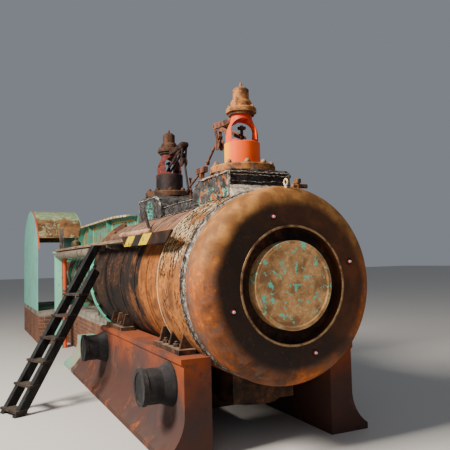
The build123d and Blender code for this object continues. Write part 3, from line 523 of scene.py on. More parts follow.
bed_finish, tree, shader, place = material("bed_red")
rust = rusted(tree, 2.4, (60, 38, 34), (106, 60, 42), (146, 78, 42))
parts = parts_of(tree, place)
worn = use(tree, LOSS, {"Scale": 2.2, "Loss": 0.35})
height = plus(tree, parts[2], times(tree, grain(tree, place, 1.8, 7), 0.8))
red = blend(tree, step(tree, height, RED_FROM_Z, RED_FROM_Z + 0.45), paint(76, 49, 41), paint(138, 64, 28))
colour = blend(tree, worn["Bare"], red, rust["Color"])
soot = times(tree, patches(tree, place, 0.44, 0.64, 1.3, 8, 0.62), 0.75)
colour = blend(tree, soot, colour, paint(58, 50, 50))
tail = step(tree, minus(tree, times(tree, grain(tree, place, 3.0, 8), 0.9), parts[0]), TAIL_X, TAIL_X + 0.14)
pale = blend(tree, patches(tree, place, 0.5, 0.64, 4.0, 7), paint(150, 148, 126), paint(96, 178, 152))
colour = blend(tree, tail, colour, pale)
colour = dusted(tree, colour, 0.2, (120, 100, 88))
surface(tree, shader, colour, rust["Roughness"])
bump(tree, shader, plus(tree, times(tree, rust["Height"], 0.4), worn["Height"]), 0.4, 0.004)
dress(bed_finish, "plinth_near", "plinth_far", "plinth_cross")

# Cylinder cladding: sheet iron over lagging, in two diameters, with straps over the seams.
# The rear part is dark with long brown runs; the front part is orange and its paint flakes in large scales.
AXIS_H = 1.5
REAR_CLAD_R, FRONT_CLAD_R, MEAN_CLAD_R = 0.86, 0.905, 0.9
FLAKE_R = 0.906
BROWN_FROM_X, OCHRE_FROM_X = -0.24, 0.16
STEP_X, FRONT_END_X = 0.985, 1.57


def hoop_group():
    """Stains that ran down round the cylinder, and where on its side a point is."""
    tree, takes, gives = shader_group("hoop_marks", {"Across": ("value", 14.0), "Around": ("value", 1.1)},
                                      {"Mask": "value", "Side": "value", "Hoop": "vector"})
    place = place_of(tree)
    parts = parts_of(tree, place)
    height = minus(tree, parts[2], AXIS_H)
    angle = sums(tree, "ARCTAN2", parts[1], height)
    hoop = vector_of(tree, parts[0], angle, times(tree, angle, 0.21))
    scaled = vector_of(tree, times(tree, parts[0], takes["Across"]), times(tree, angle, takes["Around"]))
    tree.links.new(patches(tree, scaled, 0.42, 0.66, 1.0, 7, 0.62, 0.3), gives.inputs["Mask"])
    tree.links.new(sums(tree, "DIVIDE", height, MEAN_CLAD_R), gives.inputs["Side"])
    tree.links.new(hoop, gives.inputs["Hoop"])
    return tree


def speck_group():
    """Small pits and soot marks, clustered, for old bare surfaces."""
    tree, takes, gives = shader_group("pit_marks", {"Size": ("value", 60.0), "Share": ("value", 0.5)},
                                      {"Mask": "value"})
    place = place_of(tree)
    fine = step(tree, grain(tree, place, takes["Size"], 5, 0.6, 0.4), 0.57, 0.63)
    clusters = step(tree, grain(tree, place, times(tree, takes["Size"], 0.12), 6, 0.65), 0.42, 0.62)
    tree.links.new(times(tree, times(tree, fine, clusters), takes["Share"]), gives.inputs["Mask"])
    return tree


def specked(tree, colour, size, share, tone):
    """A colour with the shared pits and soot marks on it."""
    return blend(tree, use(tree, SPECKS, {"Size": size, "Share": share})["Mask"], colour, paint(*tone))


HOOPS, SPECKS = hoop_group(), speck_group()

# The rear sheets' tones are darkened partly as painted shade under the walkway.
rear_clad, tree, shader, place = material("rear_cladding_rust_and_shade")
rust = rusted(tree, 3.2, (20, 15, 13), (40, 27, 20), (116, 70, 36))
hoops = use(tree, HOOPS, {"Across": 16.0, "Around": 0.9})
along = parts_of(tree, place)[0]
ochre_sheet = blend(tree, patches(tree, place, 0.38, 0.64, 6.0, 9, 0.66, 0.6), paint(118, 66, 28),
                    paint(176, 106, 44))
brown_sheet = blend(tree, patches(tree, place, 0.44, 0.60, 5.0, 9, 0.66, 0.6), paint(28, 20, 17),
                    paint(112, 66, 32))
colour = blend(tree, step(tree, along, BROWN_FROM_X, BROWN_FROM_X + 0.04), rust["Color"], brown_sheet)
colour = blend(tree, step(tree, along, OCHRE_FROM_X, OCHRE_FROM_X + 0.03), colour, ochre_sheet)
share = minus(tree, 0.62, times(tree, step(tree, along, 0.1, 0.3), 0.3))
colour = blend(tree, times(tree, hoops["Mask"], share), colour, paint(20, 17, 17))
wide = use(tree, HOOPS, {"Across": 3.1, "Around": 0.4})
colour = blend(tree, times(tree, wide["Mask"], 0.35), colour, paint(30, 24, 22))
top = step(tree, plus(tree, hoops["Side"], times(tree, grain(tree, place, 4.0, 6), 0.2)), 0.66, 0.86)
dusty = blend(tree, patches(tree, place, 0.4, 0.62, 8.0, 8), paint(104, 76, 62), paint(160, 120, 90))
dusty = blend(tree, times(tree, use(tree, HOOPS, {"Across": 11.0, "Around": 0.8})["Mask"], 0.5), dusty,
              paint(72, 70, 78))
colour = blend(tree, times(tree, top, 0.85), colour, dusty)
colour = specked(tree, colour, 42.0, 0.85, (34, 28, 27))
scratches = step(tree, grain(tree, use(tree, HOOPS)["Hoop"], 26.0, 3, 0.5, 2.4), 0.64, 0.68)
colour = blend(tree, times(tree, scratches, 0.75), colour, paint(28, 24, 23))
colour = dusted(tree, colour, 0.2, (150, 122, 98))
surface(tree, shader, colour, rust["Roughness"])
bump(tree, shader, minus(tree, rust["Height"], times(tree, scratches, 0.6)), 0.5, 0.005)
dress(rear_clad, "rear_cladding", "cladding_bands", "cylinder_barrel")

front_clad, tree, shader, place = material("front_cladding_flaking")
rust = rusted(tree, 3.2, (92, 56, 30), (150, 90, 36), (190, 122, 46))
hoops = use(tree, HOOPS, {"Across": 9.0, "Around": 1.4})
along = parts_of(tree, place)[0]
colour = blend(tree, times(tree, hoops["Mask"], 0.3), rust["Color"], paint(192, 124, 76))
sooty = times(tree, patches(tree, place, 0.54, 0.7, 4.5, 8, 0.64), 0.5)
colour = blend(tree, sooty, colour, paint(104, 80, 66))
upper = step(tree, plus(tree, hoops["Side"], times(tree, grain(tree, place, 4.0), 0.5)), 0.42, 0.72)
stretched = vectors(tree, "MULTIPLY", hoops["Hoop"], (1.0, 0.5, 0.5))[0]
bent = put(tree, "ShaderNodeTexNoise", {"Vector": place, "Scale": 9.0, "Detail": 6.0}).outputs["Color"]
bent = vectors(tree, "MULTIPLY", bent, (0.3, 0.3, 0.3))[0]
wander = vectors(tree, "ADD", stretched, bent)[0]
scales = put(tree, "ShaderNodeTexVoronoi", {"Vector": wander, "Scale": 13.0},
             feature="DISTANCE_TO_EDGE").outputs["Distance"]
crack = times(tree, rest(tree, step(tree, scales, 0.03, 0.09)),
             patches(tree, place, 0.42, 0.52, 6.0, 8, 0.66))
film = times(tree, upper, patches(tree, place, 0.42, 0.5, 5.0, 9, 0.66))
colour = blend(tree, times(tree, film, 0.55), colour, paint(192, 168, 126))
colour = blend(tree, times(tree, crack, upper), colour, paint(40, 33, 30))
marks = times(tree, step(tree, grain(tree, hoops["Hoop"], 19.0, 4, 0.5, 2.6), 0.66, 0.69), 0.8)
colour = blend(tree, marks, colour, paint(52, 40, 34))
colour = specked(tree, colour, 48.0, 0.8, (70, 52, 42))
# A pale line along the rear rim of the front cladding: a painted highlight on the step's lit edge.
rim = rest(tree, step(tree, along, STEP_X - 0.01, STEP_X + 0.005))
colour = blend(tree, times(tree, rim, 0.7), colour, paint(214, 182, 140))
surface(tree, shader, colour, rust["Roughness"])
height = plus(tree, times(tree, rust["Height"], 0.4), times(tree, film, 0.9))
bump(tree, shader, minus(tree, height, times(tree, crack, upper)), 0.7, 0.006)
dress(front_clad, "front_cladding")


def on_hoop(x, degrees_down, radius):
    """A point on a circle round the cylinder's axis, from its top towards the near side."""
    turn = math.radians(degrees_down)
    return Vector((x, -radius * math.sin(turn), AXIS_H + radius * math.cos(turn)))


FADE_BELOW_Z = 1.95
flakes, takes = growth("paint_flakes", {
    "Density": 500.0, "Small": (0.01, 0.014, 0.01), "Large": (0.02, 0.03, 0.02), "Patchiness": 0.5,
    "Fade": 0.0, "Seed": 1})
where = put(flakes, "GeometryNodeInputPosition").outputs[0]
spread = grain(flakes, where, 5.0, 5, 0.6, 0.4)
lower = sums(flakes, "MAXIMUM", minus(flakes, FADE_BELOW_Z, parts_of(flakes, where)[2]), 0.0)
limit = plus(flakes, takes["Patchiness"], times(flakes, lower, takes["Fade"]))
density = times(flakes, takes["Density"], sums(flakes, "GREATER_THAN", spread, limit))
seeds = put(flakes, "GeometryNodeDistributePointsOnFaces", {"Mesh": takes["Geometry"], "Density": density,
                                                            "Seed": takes["Seed"]}).outputs
plate = put(flakes, "GeometryNodeMeshCylinder", {"Vertices": 7, "Radius": 1.0, "Depth": 0.3}).outputs[0]
sizes = random_vector(flakes, takes["Small"], takes["Large"], takes["Seed"])
lifted = random_vector(flakes, (-0.10, -0.10, -0.5), (0.10, 0.10, 0.5), 9)
laid = put(flakes, "GeometryNodeInstanceOnPoints", {"Points": seeds["Points"], "Instance": plate,
                                                    "Rotation": seeds["Rotation"], "Scale": sizes}).outputs[0]
laid = put(flakes, "GeometryNodeRotateInstances", {"Instances": laid, "Rotation": lifted}).outputs[0]
close(flakes, takes, laid)


def hoop_patch(x0, x1, from_top, to_top):
    """A part of the front cladding's surface, for growing flakes on it."""
    body = bmesh.new()
    rows = [[body.verts.new(on_hoop(x0 + (x1 - x0) * i / 8, from_top + (to_top - from_top) * j / 24, FLAKE_R))
             for j in range(25)] for i in range(9)]
    for first, second in zip(rows, rows[1:]):
        for j in range(24):
            body.faces.new((first[j], second[j], second[j + 1], first[j + 1]))
    mesh = bpy.data.meshes.new("hoop_patch")
    bmesh.ops.recalc_face_normals(body, faces=body.faces[:])
    if body.faces[0].normal.dot(body.faces[0].calc_center_median() - Vector((x0, 0, AXIS_H))) < 0:
        bmesh.ops.reverse_faces(body, faces=body.faces[:])
    body.to_mesh(mesh)
    body.free()
    return mesh


flake_tan = iron_finish("flake_tan", (138, 116, 88), (188, 164, 128), (220, 200, 164), 30.0, dust=0.15)
flake_dark = iron_finish("flake_dark", (26, 22, 21), (46, 36, 31), (84, 60, 44), 30.0, dust=0.0)
flaking = hoop_patch(STEP_X + 0.005, FRONT_END_X, 24, 84)
below = hoop_patch(STEP_X, FRONT_END_X, 80, 126)
for name, settings, finish, start in (
        ("cladding_flakes", {"Density": 700.0, "Small": (0.010, 0.012, 0.004), "Large": (0.034, 0.026, 0.007),
                             "Patchiness": 0.49, "Fade": 0.36, "Seed": 4}, flake_tan, flaking),
        ("cladding_gaps", {"Density": 1300.0, "Small": (0.004, 0.010, 0.003), "Large": (0.009, 0.036, 0.007),
                           "Patchiness": 0.45, "Fade": 0.22, "Seed": 8}, flake_dark, flaking),
        ("cladding_cracks", {"Density": 620.0, "Small": (0.003, 0.008, 0.002), "Large": (0.008, 0.030, 0.003),
                             "Patchiness": 0.53, "Seed": 12}, flake_dark, below)):
    fixed(grown(name, flakes, [settings], finish, start))

# Far flange and its nuts: a cast ring, grey-brown with rust, with turquoise paint left low on its rim. It is
# held by plain hexagon nuts on studs, each at a turn of its own, with the studs' ends standing out.
QUARTER = math.pi / 2
PAINT_R, PAINT_TO_Z = 0.898, 2.0
NUTS_X, NUTS_R, NUTS = -2.12, 0.893, 28


def from_axis(tree, parts):
    """Height over the cylinder's axis, and distance from it."""
    height = minus(tree, parts[2], AXIS_H)
    squares = plus(tree, times(tree, parts[1], parts[1]), times(tree, height, height))
    return height, sums(tree, "SQRT", squares)


flange_finish, tree, shader, place = material("flange_paint")
rust = rusted(tree, 4.0, (84, 62, 50), (132, 98, 74), (166, 126, 92))
parts = parts_of(tree, place)
level = plus(tree, parts[2], times(tree, grain(tree, place, 9.0, 6), 0.6))
low_down = rest(tree, step(tree, level, PAINT_TO_Z, PAINT_TO_Z + 0.12))
kept = times(tree, low_down, rest(tree, use(tree, LOSS, {"Scale": 9.0, "Loss": 0.25})["Bare"]))
height, radius = from_axis(tree, parts)
kept = times(tree, kept, step(tree, radius, PAINT_R, PAINT_R + 0.006))
shaded = blend(tree, low_down, rust["Color"], paint(58, 46, 40))
surface(tree, shader, blend(tree, kept, shaded, paint(96, 200, 168)), rust["Roughness"])
bump(tree, shader, plus(tree, rust["Height"], kept), 0.4, 0.003)
dress(flange_finish, "rear_flange")

nut_ring, takes = growth("nut_ring", {"Centre": (0.0, 0.0, 0.0), "Turn": (0.0, 0.0, 0.0), "Count": 12,
                                      "Pitch Radius": 0.5, "Nut": 0.02, "Height": 0.02})
ring = put(nut_ring, "GeometryNodeMeshCircle", {"Vertices": takes["Count"],
                                                "Radius": takes["Pitch Radius"]}).outputs[0]
hexagon = put(nut_ring, "GeometryNodeMeshCylinder", {"Vertices": 6, "Radius": takes["Nut"],
                                                     "Depth": takes["Height"]}).outputs[0]
stud = put(nut_ring, "GeometryNodeMeshCylinder", {
    "Vertices": 10, "Radius": times(nut_ring, takes["Nut"], 0.52),
    "Depth": times(nut_ring, takes["Height"], 1.9)}).outputs[0]
stud = put(nut_ring, "GeometryNodeTransform", {
    "Geometry": stud,
    "Translation": vector_of(nut_ring, 0.0, 0.0, times(nut_ring, takes["Height"], 0.45))}).outputs[0]
joined = nut_ring.nodes.new("GeometryNodeJoinGeometry")
nut_ring.links.new(hexagon, joined.inputs[0])
nut_ring.links.new(stud, joined.inputs[0])
raised = put(nut_ring, "GeometryNodeTransform", {
    "Geometry": joined.outputs[0],
    "Translation": vector_of(nut_ring, 0.0, 0.0, times(nut_ring, takes["Height"], 0.48))}).outputs[0]
spin = put(nut_ring, "FunctionNodeRandomValue", {2: 0.0, 3: 1.0, "Seed": 5}).outputs[1]
nuts = put(nut_ring, "GeometryNodeInstanceOnPoints", {
    "Points": ring, "Instance": raised, "Rotation": vector_of(nut_ring, 0.0, 0.0, spin)}).outputs[0]
turned = put(nut_ring, "GeometryNodeTransform", {"Geometry": nuts, "Translation": takes["Centre"],
                                                 "Rotation": takes["Turn"]}).outputs[0]
close(nut_ring, takes, turned)

flange_nuts = grown("rear_flange_nuts", nut_ring, [
    {"Centre": (NUTS_X, 0.0, AXIS_H), "Turn": (0.0, QUARTER, 0.0), "Count": NUTS, "Pitch Radius": NUTS_R,
     "Nut": 0.021, "Height": 0.022}], flange_finish)
fixed(flange_nuts)

# Torn lagging: the gap between the cladding and the end casing shows the old lagging cloth, which is
# grey-white where its fold pattern rises, with white threads that are partly a painted highlight, and darker
# grey where the pattern falls. Its edge is frayed all the way round.
STRIP_X, STRIP_W = 1.590, 0.120
STRIP_LOW, STRIP_HIGH, STRIP_TOP = 0.874, 0.893, 0.899
STRIP_INNER_R, FOLD_FROM, FOLD_LIFT = 0.802, 0.28, 0.012
GAP_FROM_X, GAP_TO_X = 1.606, 1.656
AROUND, ACROSS = 520, 14

cloth_finish, tree, shader, place = material("torn_cloth")
threads = grain(tree, place, 34.0, 8, 0.7, 0.8)
folds = grain(tree, place, 9.0, 8, 0.6, 1.6)
cloth = blend(tree, step(tree, folds, 0.42, 0.6), paint(92, 86, 82), paint(150, 141, 132))
# White threads on the raised folds: partly the cloth's own colour and partly a painted highlight.
cloth = blend(tree, times(tree, step(tree, threads, 0.5, 0.64), step(tree, folds, 0.45, 0.62)), cloth,
              paint(230, 222, 210))
cloth = blend(tree, patches(tree, place, 0.6, 0.7, 3.4, 6), cloth, paint(150, 104, 72))
ragged = times(tree, minus(tree, grain(tree, place, 14.0, 6), 0.5), 0.06)
across = plus(tree, parts_of(tree, place)[0], ragged)
gap = times(tree, step(tree, across, GAP_FROM_X, GAP_FROM_X + 0.012),
            rest(tree, step(tree, across, GAP_TO_X - 0.014, GAP_TO_X)))
cloth = blend(tree, times(tree, gap, 0.8), cloth, paint(54, 48, 46))
surface(tree, shader, cloth, 0.95)
bump(tree, shader, threads, 0.9, 0.008)


def skin(body, rows, capped=False):
    """Faces over rows of points that go round a section: a closed ring of rows, or a bar with capped ends."""
    for first, second in zip(rows, rows[1:] + ([] if capped else rows[:1])):
        for j in range(len(first)):
            k = (j + 1) % len(first)
            body.faces.new((first[j], first[k], second[k], second[j]))
    if capped:
        body.faces.new(rows[0])
        body.faces.new(rows[-1][::-1])
    bmesh.ops.recalc_face_normals(body, faces=body.faces[:])


ring = bmesh.new()
rows = []
for i in range(AROUND):
    turn = 2 * math.pi * i / AROUND
    line = []
    for j in range(ACROSS + 1):
        share = j / ACROSS
        spot = Vector((share * 9, math.cos(turn) * 12, math.sin(turn) * 12))
        rag = noise.fractal(spot * 1.7, 0.9, 2.1, 5)
        edge = min(share, 1 - share) * ACROSS
        radius = STRIP_LOW + (STRIP_HIGH - STRIP_LOW) * (0.5 + 0.55 * rag) + FOLD_LIFT * (rag > FOLD_FROM)
        radius = min(radius, STRIP_TOP) if edge > 0 else STRIP_LOW - 0.02
        x = STRIP_X + STRIP_W * share + (0.005 * noise.noise(spot * 3) if edge > 0 else 0)
        line.append(ring.verts.new((x, radius * math.cos(turn), AXIS_H + radius * math.sin(turn))))
    y, z = STRIP_INNER_R * math.cos(turn), AXIS_H + STRIP_INNER_R * math.sin(turn)
    rows.append(line + [ring.verts.new((STRIP_X + w, y, z)) for w in (STRIP_W, 0.0)])
skin(ring, rows)
fixed(piece("torn_lagging_strip", ring, cloth_finish, smooth=True), "lagging_strip")

# End casing: domed cast cover over the cylinder's end with a deep recess, a thin raised lip and a round
# cover plate in the middle. Bare iron: orange on its left shoulder, black-brown on the face, partly grease
# and partly painted shade.
FACE_X, GREASE_AND_SHADE_R = 2.06, 0.70
GROOVE_FROM_X, GROOVE_TO_X = 1.744, 1.782

casing_finish, tree, shader, place = material("casing_rust")
rust = rusted(tree, 2.6, (78, 50, 34), (150, 80, 32), (212, 112, 34), 0.14)
parts = parts_of(tree, place)
height, radius = from_axis(tree, parts)
hoops = use(tree, HOOPS, {"Across": 24.0, "Around": 2.2})
mottled = patches(tree, place, 0.5, 0.6, 6.0, 10, 0.7, 0.5)
colour = blend(tree, times(tree, mottled, 0.6), rust["Color"], paint(104, 82, 72))
colour = blend(tree, times(tree, hoops["Mask"], 0.45), colour, paint(92, 62, 42))
lower = step(tree, times(tree, height, -1.0), -0.55, 0.1)
crown = blend(tree, patches(tree, place, 0.4, 0.64, 5.0, 8), paint(126, 82, 42), paint(180, 124, 66))
colour = blend(tree, lower, crown, colour)
patchy = times(tree, minus(tree, grain(tree, place, 3.4, 9, 0.62), 0.5), 0.10)
# The face is darkened inside a radius: partly grease, partly painted shade, darkest low on its left.
face = rest(tree, step(tree, plus(tree, radius, patchy), GREASE_AND_SHADE_R, GREASE_AND_SHADE_R + 0.1))
brown = blend(tree, patches(tree, place, 0.42, 0.66, 4.0, 9), paint(62, 36, 22), paint(94, 52, 28))
grease_and_shade_face = blend(tree, step(tree, plus(tree, parts[1], times(tree, height, 0.5)), -0.4, 0.75),
                    paint(34, 25, 21), brown)
colour = blend(tree, times(tree, face, 0.95), colour, grease_and_shade_face)
spots = patches(tree, place, 0.69, 0.73, 46.0, 4, 0.6)
colour = blend(tree, times(tree, spots, 0.7), colour, paint(150, 74, 32))
colour = specked(tree, colour, 40.0, 0.6, (74, 54, 44))
groove = times(tree, step(tree, parts[0], GROOVE_FROM_X, GROOVE_FROM_X + 0.006),
               rest(tree, step(tree, parts[0], GROOVE_TO_X - 0.008, GROOVE_TO_X)))
colour = blend(tree, times(tree, groove, 0.75), colour, paint(104, 92, 88))
surface(tree, shader, colour, minus(tree, rust["Roughness"], times(tree, face, 0.16)))
bump(tree, shader, rust["Height"], 0.45, 0.004)
dress(casing_finish, "end_casing")

cover_finish = iron_finish("recess_iron", (26, 19, 16), (52, 34, 26), (104, 58, 36), 4.0, dust=0.1,
                           edge=(96, 66, 46))
dress(cover_finish, "cylinder_cover")
# The cover plate's tones are lightened partly as painted light, where the sun catches it.
plate_finish = iron_finish("cover_plate", (150, 110, 74), (206, 154, 100), (236, 196, 142), 6.0,
                           coat=(120, 226, 192), loss=0.72, loss_scale=15.0, dust=0.1, edge=(222, 178, 122),
                           edge_w=0.012)
dress(plate_finish, "centre_cover")
eye_finish = iron_finish("eye_paint", (104, 70, 46), (168, 124, 84), (206, 170, 120), 20.0,
                         coat=(222, 204, 164), loss=0.35, loss_scale=30.0, dust=0.0)
dress(eye_finish, "lifting_eye")

# Lip: a thin turned ring round the recess of the casing, part of the same casting. It stands a few
# millimetres proud of the face and is worn to pale metal on its edge.
LIP_OUTLINE = [(0.001, 0.514), (0.008, 0.5165), (0.0095, 0.520), (0.0095, 0.531), (0.008, 0.5345),
               (0.001, 0.5365), (-0.004, 0.525)]
LIP_STEPS = 180
lip_finish, tree, shader, place = material("worn_lip")
worn = blend(tree, patches(tree, place, 0.4, 0.65, 12.0, 6), paint(172, 136, 96), paint(92, 62, 42))
surface(tree, shader, worn, 0.45)
shader.inputs["Metallic"].default_value = 0.3
bump(tree, shader, grain(tree, place, 60.0, 4), 0.4, 0.002)
lip = bmesh.new()
rows = [[lip.verts.new((FACE_X + x, r * math.cos(a), AXIS_H + r * math.sin(a))) for x, r in LIP_OUTLINE]
        for a in (2 * math.pi * i / LIP_STEPS for i in range(LIP_STEPS))]
skin(lip, rows)
fixed(piece("recess_lip", lip, lip_finish, smooth=True))

# Casing screws: four fixings on the casing's face, each a dark greasy boss with a red-painted washer and a
# pale screw end standing out of it. The screw ends' white is partly a painted highlight.
SCREW_R, SCREW_TURN, SCREWS = 0.636, math.radians(18), 4
boss_finish = iron_finish("boss_grease", (18, 15, 15), (34, 26, 24), (58, 40, 32), 20.0, dust=0.0)
washer_finish = iron_finish("washer_red", (40, 20, 18), (80, 34, 28), (120, 50, 38), 20.0, coat=(168, 40, 36),
                            loss=0.2, loss_scale=40.0, dust=0.0)
# The near-white of the screw ends is partly a painted highlight.
end_finish = iron_finish("screw_end", (96, 92, 92), (150, 146, 144), (190, 188, 186), 20.0,
                         coat=(214, 212, 210), loss=0.3, loss_scale=50.0, dust=0.0)
for name, radius, x0, x1, finish in (("screw_bosses", 0.034, -0.004, 0.008, boss_finish),
                                     ("screw_washers", 0.020, 0.006, 0.014, washer_finish),
                                     ("screw_ends", 0.012, 0.012, 0.026, end_finish)):
    body = bmesh.new()
    for i in range(SCREWS):
        angle = SCREW_TURN + i * 2 * math.pi / SCREWS
        spot = Vector((FACE_X + (x0 + x1) / 2, SCREW_R * math.cos(angle), AXIS_H + SCREW_R * math.sin(angle)))
        matrix = Matrix.Translation(spot) @ Matrix.Rotation(QUARTER, 4, "Y")
        bmesh.ops.create_cone(body, cap_ends=True, segments=20, radius1=radius, radius2=radius * 0.86,
                              depth=x1 - x0, matrix=matrix)
    fixed(piece(name, body, finish))

# Steam chests and the passage between them: cast boxes on top of the barrel under plastered lagging.
# The cloth is grey-black with torn white edges; rust and old turquoise paint show where it has come off.
PATCH_SPOT, FOOT_Z = (-1.02, -0.34, 2.40), 2.42
VOXEL, LUMP, CREASE = 0.016, 0.011, 0.009
chest_finish, tree, shader, place = material("chest_lagging")
facing = parts_of(tree, facing_of(tree))
lumps = grain(tree, place, 11.0, 9, 0.66, 1.2)
colour = blend(tree, step(tree, lumps, 0.38, 0.66), paint(32, 31, 32), paint(78, 74, 72))
parts = parts_of(tree, place)
low_part = rest(tree, step(tree, parts[2], FOOT_Z, FOOT_Z + 0.08))
slope = step(tree, minus(tree, parts[0], times(tree, parts[2], 0.5)), -0.50, -0.40)
side = times(tree, step(tree, times(tree, facing[1], -1.0), 0.7, 0.95), slope)
bare = times(tree, side, patches(tree, place, 0.525, 0.565, 9.0, 8, 0.62, 0.5))
colour = blend(tree, times(tree, bare, 0.85), colour, paint(158, 88, 40))
elsewhere = vectors(tree, "ADD", place, (7.3, 2.1, 4.4))[0]
old = times(tree, side, patches(tree, elsewhere, 0.535, 0.56, 13.0, 9, 0.7, 0.8))
colour = blend(tree, times(tree, old, low_part), colour, paint(92, 172, 152))
away = vectors(tree, "DISTANCE", place, PATCH_SPOT)["Value"]
near = rest(tree, step(tree, away, 0.10, 0.19))
patch = times(tree, near, patches(tree, place, 0.49, 0.53, 26.0, 8, 0.7, 0.8))
colour = blend(tree, patch, colour, paint(60, 164, 142))
white = times(tree, patches(tree, place, 0.58, 0.66, 26.0, 8, 0.72, 1.0), 0.7)
colour = blend(tree, white, colour, paint(176, 170, 162))
colour = dusted(tree, colour, 0.3, (110, 102, 94))
surface(tree, shader, colour, 0.94)
bump(tree, shader, plus(tree, lumps, white), 0.8, 0.012)


def lagged(name, node, seed):
    """Lumpy lagging over a chest: the chest's own shape, remeshed and pushed in and out."""
    low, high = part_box(node)
    body = bmesh.new()
    body.from_mesh(nodes[node].data)
    bmesh.ops.remove_doubles(body, verts=body.verts, dist=1e-5)
    mesh = bpy.data.meshes.new(name + "_carrier")
    body.to_mesh(mesh)
    body.free()
    carrier = shown(name + "_carrier", mesh)
    remesh = carrier.modifiers.new("remesh", "REMESH")
    remesh.mode = "VOXEL"
    remesh.voxel_size = VOXEL
    body = bmesh.new()
    take_off(carrier, body)
    body.normal_update()
    shift = Vector((seed * 3.1, seed * 1.7, seed))
    for vert in body.verts:
        broad = noise.fractal((vert.co + shift) * 5.5, 0.9, 2.0, 4)
        crease = abs(noise.noise((vert.co + shift) * 13))
        moved = vert.co + vert.normal * (LUMP * broad - 0.004 - CREASE * (crease < 0.06))
        vert.co = [min(max(v, a), b) for v, a, b in zip(moved, low, high)]
    fixed(piece(name, body, chest_finish, smooth=True), node)


for seed, (name, node) in enumerate((("front_chest_lagging", "front_steam_chest"),
                                     ("rear_chest_lagging", "rear_steam_chest"),
                                     ("bridge_lagging", "chest_bridge")), 1):
    lagged(name, node, seed)

# Torn hems of the lagging: frayed strips of the same old cloth, stiff with plaster. They cling to the
# chests' edges, run along their feet on the cladding and stand up round the torn strip.
VALVE_X = 1.13
CHEST_OUT, CHEST_IN, CHEST_SHOULDER, CHEST_TOE = 0.36, 0.355, 0.486, 0.594
CHEST_TOP, CHEST_HALF_W, HEM_RISE = 1.092, 0.337, 0.006
hems, takes = growth("torn_hem", {"Width": 0.05, "Thickness": 0.008, "Fray": 0.02, "Seed": 1})
run = put(hems, "GeometryNodeResampleCurve", {"Curve": takes["Geometry"], "Length": 0.011},
          mode="LENGTH").outputs[0]
where = put(hems, "GeometryNodeInputPosition").outputs[0]
wobble = put(hems, "ShaderNodeTexNoise", {"Vector": where, "W": takes["Seed"], "Scale": 16.0, "Detail": 5.0},
             noise_dimensions="4D").outputs["Color"]
centred = vectors(hems, "SUBTRACT", wobble, (0.5, 0.5, 0.5))[0]
offset = vectors(hems, "MULTIPLY", centred, takes["Fray"])[0]
run = put(hems, "GeometryNodeSetPosition", {"Geometry": run, "Offset": offset}).outputs[0]
thick = put(hems, "ShaderNodeTexNoise", {"Vector": where, "W": plus(hems, takes["Seed"], 7.0), "Scale": 34.0,
                                         "Detail": 4.0}, noise_dimensions="4D").outputs["Fac"]
ragged = put(hems, "ShaderNodeMapRange", {"Value": thick, "From Min": 0.36, "From Max": 0.64, "To Min": 0.15,
                                          "To Max": 1.15}).outputs["Result"]
profile = put(hems, "GeometryNodeCurvePrimitiveQuadrilateral", {"Width": takes["Width"],
                                                                "Height": takes["Thickness"]}).outputs[0]
profile = put(hems, "GeometryNodeResampleCurve", {"Curve": profile, "Count": 12}).outputs[0]
rag = put(hems, "GeometryNodeCurveToMesh", {"Curve": run, "Profile Curve": profile, "Scale": ragged,
                                            "Fill Caps": True}).outputs[0]
close(hems, takes, rag)


def curve_through(name, line, kind):
    """A curve of one run along a line of points."""
    curve = bpy.data.curves.new(name, "CURVE")
    curve.dimensions = "3D"
    spline = curve.splines.new(kind)
    spline.points.add(len(line) - 1)
    for point, spot in zip(spline.points, line):
        point.co = (*spot, 1)
    return curve


def torn(name, lines, width, fray, finish, seed, thickness=0.007):
    """Frayed strips along lines of points."""
    body = bmesh.new()
    for number, line in enumerate(lines):
        carrier = shown(name + "_line", curve_through(name, line, "POLY"))
        grow_on(carrier, hems, {"Width": width, "Thickness": thickness, "Fray": fray, "Seed": seed + number})
        take_off(carrier, body)
    bmesh.ops.recalc_face_normals(body, faces=body.faces[:])
    fixed(piece(name, body, finish, smooth=True))


def chest_edges(side):
    """The edge lines of one chest: round its top, down its corners and along the cladding."""
    out, inner = side * (VALVE_X + CHEST_OUT), side * (VALVE_X - CHEST_IN)
    shoulder, toe = side * (VALVE_X - CHEST_SHOULDER), side * (VALVE_X - CHEST_TOE)
    clad_r = REAR_CLAD_R if side < 0 else FRONT_CLAD_R
    top, half = AXIS_H + CHEST_TOP, CHEST_HALF_W
    lines = []
    for y in (-half, half):
        foot = AXIS_H + math.sqrt(clad_r ** 2 - y * y) + HEM_RISE
        lines.append([(out, y, foot), (out, y, top), (inner, y, top), (shoulder, y, top - 0.04),
                      (toe, y, top - 0.15)])
        lines.append([(out, y, foot), (inner, y, foot), (toe, y, foot)])
    lines.append([(out, -half, top), (out, half, top)])
    lines.append([(out, -half, top - 0.09), (out, 0, top - 0.10), (out, half, top - 0.085)])
    return lines


